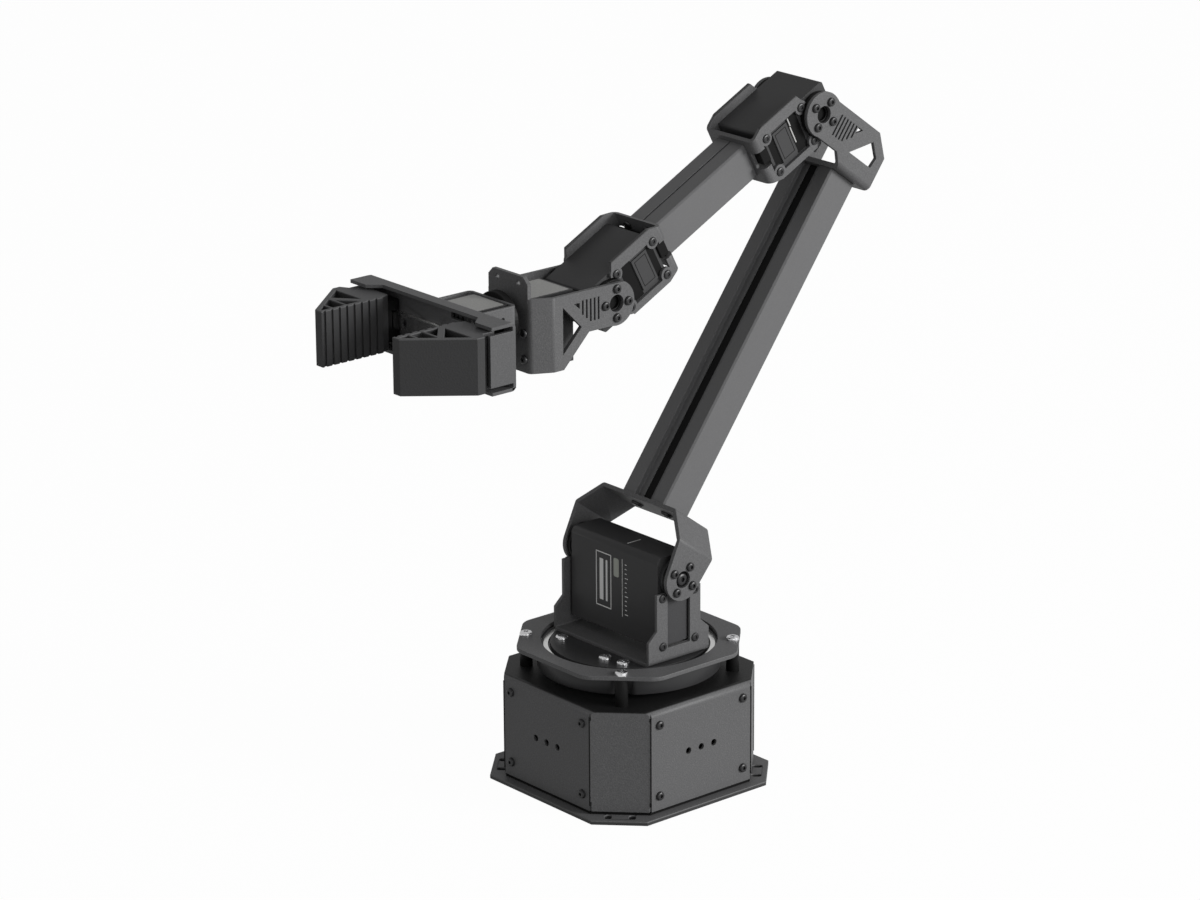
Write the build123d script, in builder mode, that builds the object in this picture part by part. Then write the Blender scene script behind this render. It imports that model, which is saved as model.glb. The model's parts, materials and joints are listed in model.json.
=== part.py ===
from build123d import *
import math
import os

# Desktop robot arm: a turning base, three pitching joints, a rolling wrist and a two finger gripper.
# Sizes are in millimetres and degrees. The origin is on the yaw axis at the underside of the base
# plate, +X is the way the arm reaches and +Z is up.

# Base plate and its fixing slots
plate_thickness = 2.0
plate_half = 54.2
plate_corner = 18.0
slot_inset = 4.92
slot_spread = 5.5
slot_length = 5.0
slot_width = 3.2

# Folded base housing
cover_gap = 1.6
cover_height = 48.4
cover_half = 50.0
cover_corner = 19.6
cover_sheet = 1.5
cover_bend = 3.0
corner_slit = 1.0
corner_slit_height = 4.5
vent_radius = 1.6
vent_pitch = 7.65
vent_count = 3
cover_opening = 13.0
cover_screw_side = 25.2
cover_screw_inset = 7.0
post_size = 6.0

# Screw heads: button heads on the sheet metal, larger pan heads on the ring and the turntable,
# drawn with twelve sides
head_sides = 12
button_radius = 2.1
button_height = 1.4
low_height = 0.8
pan_radius = 3.0
pan_height = 1.7

# Bearing ring that stands on the housing
standoff_height = 12.8
standoff_radius = 3.0
ring_screw_side = 33.7
ring_thickness = 2.0
ring_half = 48.0
ring_corner = 24.3
ring_round = 10.0
bearing_bore = 40.7
drum_bore = 39.6
drum_radius = 42.5
scallop_radius = 7.2
drum_height = 10.0
drum_lip = 2.0
drum_lip_width = 1.2

# Thin bearing between the ring and the turntable
race_fit = 0.05
outer_race_height = 7.2
outer_race_inner = 37.4
inner_race_inner = 33.5
inner_race_outer = 35.7
inner_race_height = 4.4
cage_clearance = 0.3
cage_height = 3.0

# Turntable
turntable_top = 65.4
turntable_step = 2.0
turntable_radius = 36.4
turntable_lip_radius = 37.2
spigot_height = 2.4
hub_radius = 10.0
turntable_screw_x = 22.3
turntable_screw_y = 21.7
middle_screw_x = 24.2
middle_screw_y = 11.3

# Yaw servo in the housing
yaw_case_length = 43.3
yaw_case_width = 23.6
yaw_case_height = 29.0
yaw_case_overhang = 10.0
yaw_servo_seat = 20.0
stand_sheet = 1.6
stand_cheek = 22.0
yaw_horn_radius = 10.0
yaw_horn_height = 3.9
yaw_horn_floor = 1.0

# Fits that several pieces share
shaft_radius = 3.0
shaft_clearance = 0.05
face_clearance = 0.3
side_clearance = 0.1

# Shoulder bracket and servo
shoulder_x = -1.0
servo_lift = 4.7
bracket_sheet = 1.6
bracket_half = 33.5
bracket_bend = 2.5
foot_half = 18.2
foot_height = 11.6
wall_half = 13.2
wall_slope = 4.5
wall_top_drop = 5.5
wall_window_half = 6.65
wall_window_sill = 7.0
wall_relief = 9.8
shoulder_screw_x = 9.7
shoulder_screw_inset = 2.0
shoulder_screw_low = 8.3
servo_thickness = 19.6
servo_below_axis = 32.8
servo_above_axis = 10.5
servo_half_length = 30.15
servo_round = 3.0
end_cover_half = 6.2
end_cover_drop = 31.0
end_boss_radius = 8.6
shoulder_horn_radius = 9.0

# Upper arm: yoke, tube and elbow bracket, laid out along the tube from the shoulder axis
upper_angle = 126.44
yoke_sheet = 2.0
yoke_half = 36.5
yoke_web_half = 25.06
yoke_bend_line = 14.9
yoke_reach = 27.3
yoke_front = -13.3
yoke_back = 11.0
yoke_round = 10.0
yoke_bend_radius = 2.5
horn_hole_radius = 4.0
horn_screw_radius = 6.65
upper_tube_length = 173.6
upper_tube_half = 14.5
upper_tube_front = -10.8
upper_tube_back = 6.8
groove_half = 6.0
groove_depth = 2.6
groove_core_half = 2.4
groove_core_depth = 5.6
tube_edge = 0.8

# Elbow bracket, laid out from the elbow axis
elbow_seat = 16.5
elbow_offset = -35.5
fork_sheet = 2.0
fork_half = 19.5
fork_bend_radius = 3.0
elbow_round = 10.6
elbow_edge_top = 9.4
elbow_edge_low = -10.2
elbow_web_front = 24.0
elbow_web_back = 47.2
elbow_corner_rise = 8.6
elbow_corner_run = 10.0
window_side = 9.6
window_front = 0.9
window_rim = 5.5
window_corner = 11.2
window_back = 4.8
window_run = 5.4
window_slope = 0.9
fork_slot_width = 1.0
fork_slot_pitch = 2.27
fork_slot_first = 10.5
fork_slot_top = 5.2
fork_slot_slope = 0.87
elbow_level_slots = 2.8
wrist_level_slots = 2.1
elbow_notch_run = 3.7
elbow_notch_rise = 3.4
wrist_notch_run = 3.3
wrist_notch_rise = 2.8
wrist_notch_drop = 0.8
elbow_slot_count = 6
wrist_slot_count = 5

# Forearm: two folded servo brackets back to back on a tube, each laid out from its own axis
forearm_angle = -27.4
forearm_tube_length = 61.0
forearm_tube_half = 9.45
forearm_tube_low = -7.9
forearm_tube_high = 10.0
forearm_groove_half = 0.5
forearm_groove_depth = 1.2
clip_sheet = 1.6
clip_half = 16.2
clip_reach = 39.75
clip_bend_radius = 3.0
clip_top = 16.2
clip_low = -13.7
clip_web_top = 12.6
clip_web_low = -11.0
clip_pad_radius = 3.4
clip_pad_near = 8.1
clip_pad_far = 31.9
clip_pad_side = 9.5
clip_window_half = 10.3
clip_window_end = 34.6
clip_notch_low = -3.0
clip_notch_high = 6.0
clip_relief = 10.9
small_case_front = 9.0
small_case_rear = 33.0
small_case_half = 11.6
small_case_round = 1.2
small_panel_near = 18.0
small_panel_far = 27.5
small_panel_half = 8.2
small_panel_height = 0.7
fork_horn_radius = 10.3

# Wrist bracket, laid out from the wrist axis with the gripper level
wrist_round = 10.3
wrist_edge_top = 9.3
wrist_edge_low = -9.9
wrist_reach = 46.0
wrist_web_half = 14.4
wrist_bend_line = 36.3
wrist_web_low = -24.6
wrist_slope_start = 16.0
wrist_slope_end = 30.6
wrist_window_inset = 5.3
wrist_window_depth = 10.7
wrist_window_middle = -6.85
wrist_window_half = 10.85
ear_top = 18.9
ear_half = 13.5
ear_hole_height = 15.5
ear_hole_side = 7.2
ear_hole_radius = 1.3
roll_case_length = 25.4
roll_case_half = 11.6
roll_case_top = 8.5
roll_case_low = -24.4
roll_flange = 2.5
roll_flange_half = 12.4
roll_screw_side = 11.0
roll_screw_high = -6.6
roll_screw_low = -18.6

# Gripper, laid out from the roll axis; distances forward are from the wrist axis
roll_drop = 0.8
roll_boss_radius = 6.0
roll_boss_clearance = 1.0
roll_stub = 3.4
roll_boss_start = 46.4
roll_disc_radius = 16.0
roll_disc_start = 50.0
roll_disc_end = 54.0
cradle_sheet = 1.6
cradle_half = 16.0
cradle_top = 9.8
cradle_low = -15.2
cradle_neck = 6.2
cradle_neck_start = 77.9
cradle_hole_x = 62.0
cradle_hole_height = 4.5
cradle_hole_radius = 1.0
grip_servo_half = 11.6
grip_servo_top = 9.4
grip_servo_low = -23.6
grip_servo_front = 78.0
frame_back = 82.0
frame_sheet = 1.6
frame_half_height = 15.3
frame_half_width = 49.2
frame_bend_radius = 2.4
frame_front = 89.6
frame_end_front = 95.2
frame_flare_run = 16.2
frame_flare_length = 5.0
flange_front = 96.0
flange_half_height = 11.6
flange_sheet = 1.8
rail_height = 4.4
rail_half = 3.6
rail_waist = 0.7
rail_end_gap = 5.2
rail_screw_spacing = 20.0
rail_screw_radius = 2.2

# Rack and pinion drive of the fingers
gear_module = 1.0
pinion_teeth = 16
pressure_angle = 20.0
tooth_backlash = 0.2
root_clearance = 0.3
gear_back = 78.6
gear_face = 2.8
pinion_pivot_radius = 2.9
rack_back_height = 2.7
rack_inner_end = -5.0
rack_overhang = 4.0

# Fingers, drawn fully open, with the distances across them taken from their carriage's middle
carriage_front = 91.6
carriage_back = 84.6
carriage_half_height = 9.0
carriage_half_length = 8.5
carriage_end_gap = 1.9
slide_clearance = 0.25
lug_half = 5.0
lug_low = 8.4
lug_high = 11.5
lug_clearance = 0.4
closed_gap = 0.3
finger_inner = -12.2
finger_tip = 129.5
finger_tip_outer = -7.6
finger_shoulder_x = 104.0
finger_shoulder_y = 13.5
finger_heel_x = 100.0
finger_root_inner = -10.0
finger_root_outer = 9.5
finger_half_height = 12.65
finger_root_step = 95.4
rib_height = 0.8
rib_pitch = 4.0
rib_width = 2.9
rib_first = 128.2
rib_count = 8
finger_wall = 2.2
pocket_back = 104.6
strut_width = 1.3
brace_width = 3.0
brace_climb = 12.0
strut_front = 122.2
strut_rear = 114.8


def out_along(pivot, angle, along, across):
    """A point of a link's side view, as (x, z), from its pivot and its angle above +X."""
    turn = math.radians(angle)
    x = pivot[0] + along * math.cos(turn) - across * math.sin(turn)
    z = pivot[1] + along * math.sin(turn) + across * math.cos(turn)
    return (x, z)


def side_plane(pivot, angle, y=0.0, facing=1):
    """Side view of a link: local X runs along it, local Y across it. Facing -1 turns it about its height."""
    turn = math.radians(angle)
    return Plane(
        origin=(pivot[0], y, pivot[1]),
        x_dir=(facing * math.cos(turn), 0, facing * math.sin(turn)),
        z_dir=(0, -facing, 0),
    )


def plan_plane(pivot, angle, across=0.0, facing=1):
    """View down on a link: local X runs along it, and the normal points across it."""
    turn = math.radians(angle)
    x, z = out_along(pivot, angle, 0, across)
    return Plane(
        origin=(x, 0, z),
        x_dir=(facing * math.cos(turn), 0, facing * math.sin(turn)),
        z_dir=(-math.sin(turn), 0, math.cos(turn)),
    )


def end_plane(pivot, angle, along=0.0):
    """Plane square to a link: local X is +Y, local Y runs across the link."""
    turn = math.radians(angle)
    x, z = out_along(pivot, angle, along, 0)
    return Plane(origin=(x, 0, z), x_dir=(0, 1, 0), z_dir=(math.cos(turn), 0, math.sin(turn)))


def side_screws(pivot, angle, y, spots, height, facing=1):
    """Button heads on both outer faces of a pair of plates."""
    with BuildPart() as heads:
        with BuildSketch(side_plane(pivot, angle, y, facing)):
            with Locations(*spots):
                RegularPolygon(button_radius, head_sides)
        extrude(amount=-height * facing)
        mirror(about=Plane.XZ)
    return heads


def horn(pivot, side, radius, inner, outer):
    """Horn disc beside a pivot, bored for the servo's shaft."""
    face = Plane(origin=(pivot[0], side * inner, pivot[1]), x_dir=(1, 0, 0), z_dir=(0, side, 0))
    with BuildPart() as disc:
        with BuildSketch(face):
            Circle(radius)
            Circle(shaft_radius + shaft_clearance, mode=Mode.SUBTRACT)
        extrude(amount=outer - inner)
    return disc


def horn_spots(radius):
    """Four screws round a horn's centre."""
    return [(radius, 0), (0, radius), (-radius, 0), (0, -radius)]


def slot_bottom(place, slant_start):
    """Low end of a cooling slot: level at first, then rising with the fork's lower edge."""
    rise = max(0.0, place - slant_start)
    return -fork_slot_top + fork_slot_slope * rise


os.makedirs("parts", exist_ok=True)

# Places and heights that follow from the sizes above
slot_radius = (2 * plate_half - plate_corner) / math.sqrt(2) - slot_inset
cover_bottom = plate_thickness + cover_gap
cover_top = cover_bottom + cover_height
ring_bottom = cover_top + standoff_height
ring_top = ring_bottom + ring_thickness
drum_bottom = ring_bottom - drum_height
lip_top = turntable_top - turntable_step
disc_bottom = lip_top - turntable_step
shoulder_height = turntable_top + bracket_sheet + servo_lift + servo_below_axis
horn_top = yaw_servo_seat + yaw_case_height + face_clearance + yaw_horn_height
fork_inner = fork_half - fork_sheet
clip_inner = clip_half - clip_sheet
small_case_side = clip_inner - side_clearance

# Pivots, as (x, z)
shoulder = (shoulder_x, shoulder_height)
elbow = out_along(shoulder, upper_angle, yoke_reach + upper_tube_length + elbow_seat, elbow_offset)
wrist = out_along(elbow, forearm_angle, 2 * clip_reach + forearm_tube_length, 0)
grip = (wrist[0], wrist[1] - roll_drop)
level = 0.0

# Gripper places that follow from the frame's width
carriage_centre = frame_half_width - flange_sheet - carriage_end_gap - carriage_half_length
finger_travel = carriage_centre + finger_inner - closed_gap
rail_half_length = frame_half_width - rail_end_gap
rack_outer_end = carriage_centre + rack_overhang
frame_flare_start = frame_half_width - frame_flare_run
frame_flare_end = frame_flare_start + frame_flare_length

# Base plate
with BuildPart() as base_plate:
    with BuildSketch() as plate_outline:
        Rectangle(2 * plate_half, 2 * plate_half)
        chamfer(plate_outline.vertices(), plate_corner)
        with PolarLocations(slot_radius, 4, start_angle=45):
            with Locations((0, slot_spread), (0, -slot_spread)):
                SlotOverall(slot_length, slot_width, mode=Mode.SUBTRACT)
    extrude(amount=plate_thickness)
base_plate.part.label = "base_plate"
export_step(base_plate.part, "parts/base_plate.step")

# Base housing, folded from sheet with an open underside
slit_x = cover_half - corner_slit / 4
slit_y = cover_half - cover_corner
slit_spots = [
    (sx * a, sy * b)
    for sx in (1, -1)
    for sy in (1, -1)
    for a, b in ((slit_x, slit_y), (slit_y, slit_x))
]
with BuildPart() as base_housing:
    with BuildSketch(Plane.XY.offset(cover_bottom)) as cover_outline:
        Rectangle(2 * cover_half, 2 * cover_half)
        chamfer(cover_outline.vertices(), cover_corner)
    extrude(amount=cover_height)
    top_edges = base_housing.faces().sort_by(Axis.Z)[-1].edges()
    fillet(top_edges.filter_by(Axis.X) + top_edges.filter_by(Axis.Y), cover_bend)
    offset(amount=-cover_sheet, openings=base_housing.faces().sort_by(Axis.Z)[0])
    with BuildSketch(Plane.XY.offset(cover_top)):
        Circle(cover_opening)
    extrude(amount=-2 * cover_sheet, mode=Mode.SUBTRACT)
    for slit_base in (cover_bottom, cover_top - corner_slit_height):
        with BuildSketch(Plane.XY.offset(slit_base)):
            with Locations(*slit_spots):
                Rectangle(corner_slit, corner_slit)
        extrude(amount=corner_slit_height, mode=Mode.SUBTRACT)
    for wall_plane in (Plane.YZ, Plane.XZ):
        with BuildSketch(wall_plane):
            with Locations((0, cover_bottom + cover_height / 2)):
                with GridLocations(vent_pitch, 1, vent_count, 1):
                    Circle(vent_radius)
        extrude(amount=cover_half + cover_sheet, both=True, mode=Mode.SUBTRACT)
base_housing.part.label = "base_housing"
export_step(base_housing.part, "parts/base_housing.step")

# Posts behind the housing walls that its screws go into
post_inner = cover_half - cover_sheet - post_size / 2
with BuildPart() as housing_posts:
    with BuildSketch(Plane.XY.offset(plate_thickness)):
        with PolarLocations(0, 4):
            with Locations((post_inner, cover_screw_side), (post_inner, -cover_screw_side)):
                Rectangle(post_size, post_size)
    extrude(until=Until.NEXT, target=base_housing.part)
housing_posts.part.label = "housing_posts"
export_step(housing_posts.part, "parts/housing_posts.step")

# Housing screws, four on each main wall
cover_screws = [
    (side * cover_screw_side, height)
    for side in (1, -1)
    for height in (cover_bottom + cover_screw_inset, cover_top - cover_screw_inset)
]
with BuildPart() as housing_screws:
    for wall in (Plane.YZ, Plane.XZ):
        for distance in (cover_half, -cover_half):
            with BuildSketch(wall.offset(distance)):
                with Locations(*cover_screws):
                    RegularPolygon(button_radius, head_sides)
            extrude(amount=math.copysign(button_height, distance))
housing_screws.part.label = "housing_screws"
export_step(housing_screws.part, "parts/housing_screws.step")

# Yaw servo, standing in the housing with its shaft on the yaw axis
with BuildPart() as yaw_servo:
    with BuildSketch(Plane.XY.offset(yaw_servo_seat)):
        with Locations((yaw_case_overhang - yaw_case_length / 2, 0)):
            Rectangle(yaw_case_length, yaw_case_width)
    extrude(amount=yaw_case_height)
    with BuildSketch(Plane.XY.offset(yaw_servo_seat + yaw_case_height)):
        Circle(shaft_radius)
    extrude(amount=yaw_horn_height - yaw_horn_floor)
yaw_servo.part.label = "yaw_servo"
export_step(yaw_servo.part, "parts/yaw_servo.step")

# Stand that carries the yaw servo: two cheeks joined by a shelf
with BuildPart() as yaw_servo_stand:
    with BuildSketch(Plane.YZ.offset(yaw_case_overhang)):
        for side in (1, -1):
            with Locations((side * (yaw_case_width / 2 + side_clearance + stand_sheet / 2), plate_thickness)):
                Rectangle(
                    stand_sheet,
                    yaw_servo_seat - plate_thickness + stand_cheek,
                    align=(Align.CENTER, Align.MIN),
                )
        with Locations((0, yaw_servo_seat - stand_sheet)):
            Rectangle(
                yaw_case_width + 2 * side_clearance + stand_sheet,
                stand_sheet,
                align=(Align.CENTER, Align.MIN),
            )
    extrude(amount=-yaw_case_length)
yaw_servo_stand.part.label = "yaw_servo_stand"
export_step(yaw_servo_stand.part, "parts/yaw_servo_stand.step")

# Four standoffs on the housing carry the ring
with BuildPart() as ring_standoffs:
    with BuildSketch(Plane.XY.offset(cover_top)):
        with GridLocations(2 * ring_screw_side, 2 * ring_screw_side, 2, 2):
            Circle(standoff_radius)
    extrude(amount=standoff_height)
ring_standoffs.part.label = "ring_standoffs"
export_step(ring_standoffs.part, "parts/ring_standoffs.step")

# Ring plate: an octagon with rounded corners round the turntable
with BuildPart() as ring_plate:
    with BuildSketch(Plane.XY.offset(ring_bottom)) as ring_outline:
        Rectangle(2 * ring_half, 2 * ring_half)
        chamfer(ring_outline.vertices(), ring_corner)
        fillet(ring_outline.vertices(), ring_round)
        Circle(bearing_bore, mode=Mode.SUBTRACT)
    extrude(amount=ring_thickness)
ring_plate.part.label = "ring_plate"
export_step(ring_plate.part, "parts/ring_plate.step")

with BuildPart() as ring_screws:
    with BuildSketch(Plane.XY.offset(ring_top)):
        with GridLocations(2 * ring_screw_side, 2 * ring_screw_side, 2, 2):
            RegularPolygon(pan_radius, head_sides)
    extrude(amount=pan_height)
ring_screws.part.label = "ring_screws"
export_step(ring_screws.part, "parts/ring_screws.step")

# Bearing housing: a drum under the ring plate, scalloped round the standoffs, with a lip for the race
with BuildPart() as bearing_housing:
    with BuildSketch(Plane.XY.offset(drum_bottom)):
        Circle(drum_radius)
        Circle(drum_bore - drum_lip_width, mode=Mode.SUBTRACT)
        with GridLocations(2 * ring_screw_side, 2 * ring_screw_side, 2, 2):
            Circle(scallop_radius, mode=Mode.SUBTRACT)
    extrude(amount=drum_height)
    with BuildSketch(Plane.XY.offset(drum_bottom + drum_lip)):
        Circle(drum_bore)
    extrude(amount=drum_height, mode=Mode.SUBTRACT)
bearing_housing.part.label = "bearing_housing"
export_step(bearing_housing.part, "parts/bearing_housing.step")

with BuildPart() as bearing_outer_race:
    with BuildSketch(Plane.XY.offset(drum_bottom + drum_lip)):
        Circle(drum_bore - race_fit)
        Circle(outer_race_inner, mode=Mode.SUBTRACT)
    extrude(amount=outer_race_height)
bearing_outer_race.part.label = "bearing_outer_race"
export_step(bearing_outer_race.part, "parts/bearing_outer_race.step")

with BuildPart() as bearing_inner_race:
    with BuildSketch(Plane.XY.offset(disc_bottom)):
        Circle(inner_race_outer)
        Circle(inner_race_inner, mode=Mode.SUBTRACT)
    extrude(amount=-inner_race_height)
bearing_inner_race.part.label = "bearing_inner_race"
export_step(bearing_inner_race.part, "parts/bearing_inner_race.step")

# Cage that holds the balls, under the turntable's lip
with BuildPart() as bearing_cage:
    with BuildSketch(Plane.XY.offset(disc_bottom - face_clearance)):
        Circle(outer_race_inner - cage_clearance)
        Circle(inner_race_outer + cage_clearance, mode=Mode.SUBTRACT)
    extrude(amount=-cage_height)
bearing_cage.part.label = "bearing_cage"
export_step(bearing_cage.part, "parts/bearing_cage.step")

# Turntable: stepped disc with a spigot in the inner race and a hub down to the yaw horn
with BuildPart() as turntable:
    with BuildSketch(Plane.XZ):
        with BuildLine():
            Polyline(
                (0, horn_top),
                (hub_radius, horn_top),
                (hub_radius, disc_bottom - spigot_height),
                (inner_race_inner - race_fit, disc_bottom - spigot_height),
                (inner_race_inner - race_fit, disc_bottom),
                (turntable_lip_radius, disc_bottom),
                (turntable_lip_radius, lip_top),
                (turntable_radius, lip_top),
                (turntable_radius, turntable_top),
                (0, turntable_top),
                close=True,
            )
        make_face()
    revolve(axis=Axis.Z)
turntable.part.label = "turntable"
export_step(turntable.part, "parts/turntable.step")

with BuildPart() as yaw_horn:
    with BuildSketch(Plane.XY.offset(horn_top)):
        Circle(yaw_horn_radius)
    extrude(amount=-yaw_horn_height)
    with BuildSketch(Plane.XY.offset(horn_top - yaw_horn_height)):
        Circle(shaft_radius + shaft_clearance)
    extrude(amount=yaw_horn_height - yaw_horn_floor, mode=Mode.SUBTRACT)
yaw_horn.part.label = "yaw_horn"
export_step(yaw_horn.part, "parts/yaw_horn.step")

with BuildPart() as turntable_screws:
    with BuildSketch(Plane.XY.offset(turntable_top)):
        with GridLocations(2 * turntable_screw_x, 2 * turntable_screw_y, 2, 2):
            RegularPolygon(pan_radius, head_sides)
        with Locations((middle_screw_x, middle_screw_y)):
            RegularPolygon(pan_radius, head_sides)
    extrude(amount=pan_height)
turntable_screws.part.label = "turntable_screws"
export_step(turntable_screws.part, "parts/turntable_screws.step")

# Shoulder bracket: a folded channel whose walls are cut to posts round the servo
web_drop = shoulder_height - turntable_top
wall_height = web_drop - wall_top_drop
with BuildPart() as shoulder_bracket:
    with BuildSketch(end_plane(shoulder, level, -foot_half)):
        with BuildLine():
            FilletPolyline(
                (bracket_half, 0),
                (bracket_half, -web_drop),
                (-bracket_half, -web_drop),
                (-bracket_half, 0),
                radius=bracket_bend,
            )
            offset(amount=bracket_sheet, side=Side.RIGHT)
        make_face()
    extrude(amount=2 * foot_half)
    with BuildSketch(side_plane(shoulder, level)) as wall_outline:
        foot_top = foot_height - web_drop
        with BuildLine():
            Polyline(
                (foot_half, -web_drop),
                (foot_half, foot_top),
                (wall_half, foot_top + wall_slope),
                (wall_half, wall_height - web_drop),
                (-wall_half, wall_height - web_drop),
                (-wall_half, foot_top + wall_slope),
                (-foot_half, foot_top),
                (-foot_half, -web_drop),
                close=True,
            )
        make_face()
        with Locations((0, wall_window_sill - web_drop)):
            Rectangle(
                2 * wall_window_half,
                wall_height,
                align=(Align.CENTER, Align.MIN),
                mode=Mode.SUBTRACT,
            )
        Circle(wall_relief, mode=Mode.SUBTRACT)
    extrude(amount=bracket_half, both=True, mode=Mode.INTERSECT)
shoulder_bracket.part.label = "shoulder_bracket"
export_step(shoulder_bracket.part, "parts/shoulder_bracket.step")

bracket_spots = [
    (side * shoulder_screw_x, height - web_drop)
    for side in (1, -1)
    for height in (shoulder_screw_low, wall_height - shoulder_screw_inset)
]
shoulder_bracket_screws = side_screws(shoulder, level, bracket_half, bracket_spots, low_height)
shoulder_bracket_screws.part.label = "shoulder_bracket_screws"
export_step(shoulder_bracket_screws.part, "parts/shoulder_bracket_screws.step")

# Shoulder servo: a tall case with rounded upper edges, closed by an end cover on each side
with BuildPart() as shoulder_servo:
    with BuildSketch(side_plane(shoulder, level)) as case_outline:
        with Locations((0, -servo_below_axis)):
            Rectangle(
                servo_thickness,
                servo_below_axis + servo_above_axis,
                align=(Align.CENTER, Align.MIN),
            )
        fillet(case_outline.vertices().group_by(Axis.Y)[-1], servo_round)
    extrude(amount=servo_half_length, both=True)
shoulder_servo.part.label = "shoulder_servo"
export_step(shoulder_servo.part, "parts/shoulder_servo.step")

bracket_inner = bracket_half - bracket_sheet
for side, name in ((1, "shoulder_gear_cover"), (-1, "shoulder_rear_cover")):
    with BuildPart() as end_cover:
        with BuildSketch(Plane(
            origin=(shoulder[0], side * servo_half_length, shoulder[1]),
            x_dir=(side, 0, 0),
            z_dir=(0, side, 0),
        )):
            Circle(end_boss_radius)
            with Locations((0, end_cover_drop / 2)):
                Rectangle(2 * end_cover_half, end_cover_drop)
        extrude(amount=bracket_inner - servo_half_length)
        with BuildSketch(Plane(
            origin=(shoulder[0], side * bracket_inner, shoulder[1]),
            x_dir=(side, 0, 0),
            z_dir=(0, side, 0),
        )):
            Circle(shaft_radius)
        extrude(amount=bracket_sheet)
    end_cover.part.label = name
    export_step(end_cover.part, f"parts/{name}.step")

# Shoulder horns, turning with the upper arm
yoke_inner = yoke_half - yoke_sheet
for side, name in ((1, "shoulder_horn"), (-1, "shoulder_idler_horn")):
    disc = horn(shoulder, side, shoulder_horn_radius, bracket_inner + face_clearance, yoke_inner)
    disc.part.label = name
    export_step(disc.part, f"parts/{name}.step")

# Shoulder yoke: folded from one strip, with sloping panels up to the tube's foot
with BuildPart() as shoulder_yoke:
    with BuildSketch(plan_plane(shoulder, upper_angle, yoke_front)):
        with BuildLine():
            FilletPolyline(
                (-yoke_round, yoke_half),
                (yoke_bend_line, yoke_half),
                (yoke_reach, yoke_web_half),
                (yoke_reach, -yoke_web_half),
                (yoke_bend_line, -yoke_half),
                (-yoke_round, -yoke_half),
                radius=yoke_bend_radius,
            )
            offset(amount=yoke_sheet, side=Side.RIGHT)
        make_face()
    extrude(amount=yoke_back - yoke_front)
    with BuildSketch(side_plane(shoulder, upper_angle)):
        Circle(yoke_round)
        with BuildLine():
            Line((yoke_bend_line, yoke_front), (yoke_bend_line, yoke_back))
        make_hull()
        with Locations((yoke_bend_line, yoke_front)):
            Rectangle(
                yoke_reach - yoke_bend_line,
                yoke_back - yoke_front,
                align=(Align.MIN, Align.MIN),
            )
        Circle(horn_hole_radius, mode=Mode.SUBTRACT)
    extrude(amount=yoke_half, both=True, mode=Mode.INTERSECT)
shoulder_yoke.part.label = "shoulder_yoke"
export_step(shoulder_yoke.part, "parts/shoulder_yoke.step")

# Yoke screws: four through each plate into its horn, and one in the middle of each horn
with BuildPart() as shoulder_yoke_screws:
    add(side_screws(shoulder, upper_angle, yoke_half, horn_spots(horn_screw_radius), button_height).part)
    with BuildSketch(side_plane(shoulder, upper_angle, yoke_inner)):
        RegularPolygon(pan_radius, head_sides)
    extrude(amount=-yoke_sheet + face_clearance)
    with BuildSketch(side_plane(shoulder, upper_angle, -yoke_inner)):
        RegularPolygon(pan_radius, head_sides)
    extrude(amount=yoke_sheet - face_clearance)
shoulder_yoke_screws.part.label = "shoulder_yoke_screws"
export_step(shoulder_yoke_screws.part, "parts/shoulder_yoke_screws.step")

# Upper arm tube: a rectangular extrusion with a stepped groove along its front and back
with BuildPart() as upper_arm_tube:
    with BuildSketch(end_plane(shoulder, upper_angle, yoke_reach)) as tube_section:
        with Locations((0, (upper_tube_front + upper_tube_back) / 2)):
            Rectangle(2 * upper_tube_half, upper_tube_back - upper_tube_front)
        chamfer(tube_section.vertices(), tube_edge)
        for face, inward in ((upper_tube_front, Align.MIN), (upper_tube_back, Align.MAX)):
            with Locations((0, face)):
                Rectangle(2 * groove_half, groove_depth, align=(Align.CENTER, inward), mode=Mode.SUBTRACT)
                Rectangle(
                    2 * groove_core_half,
                    groove_core_depth,
                    align=(Align.CENTER, inward),
                    mode=Mode.SUBTRACT,
                )
    extrude(amount=upper_tube_length)
upper_arm_tube.part.label = "upper_arm_tube"
export_step(upper_arm_tube.part, "parts/upper_arm_tube.step")

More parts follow.
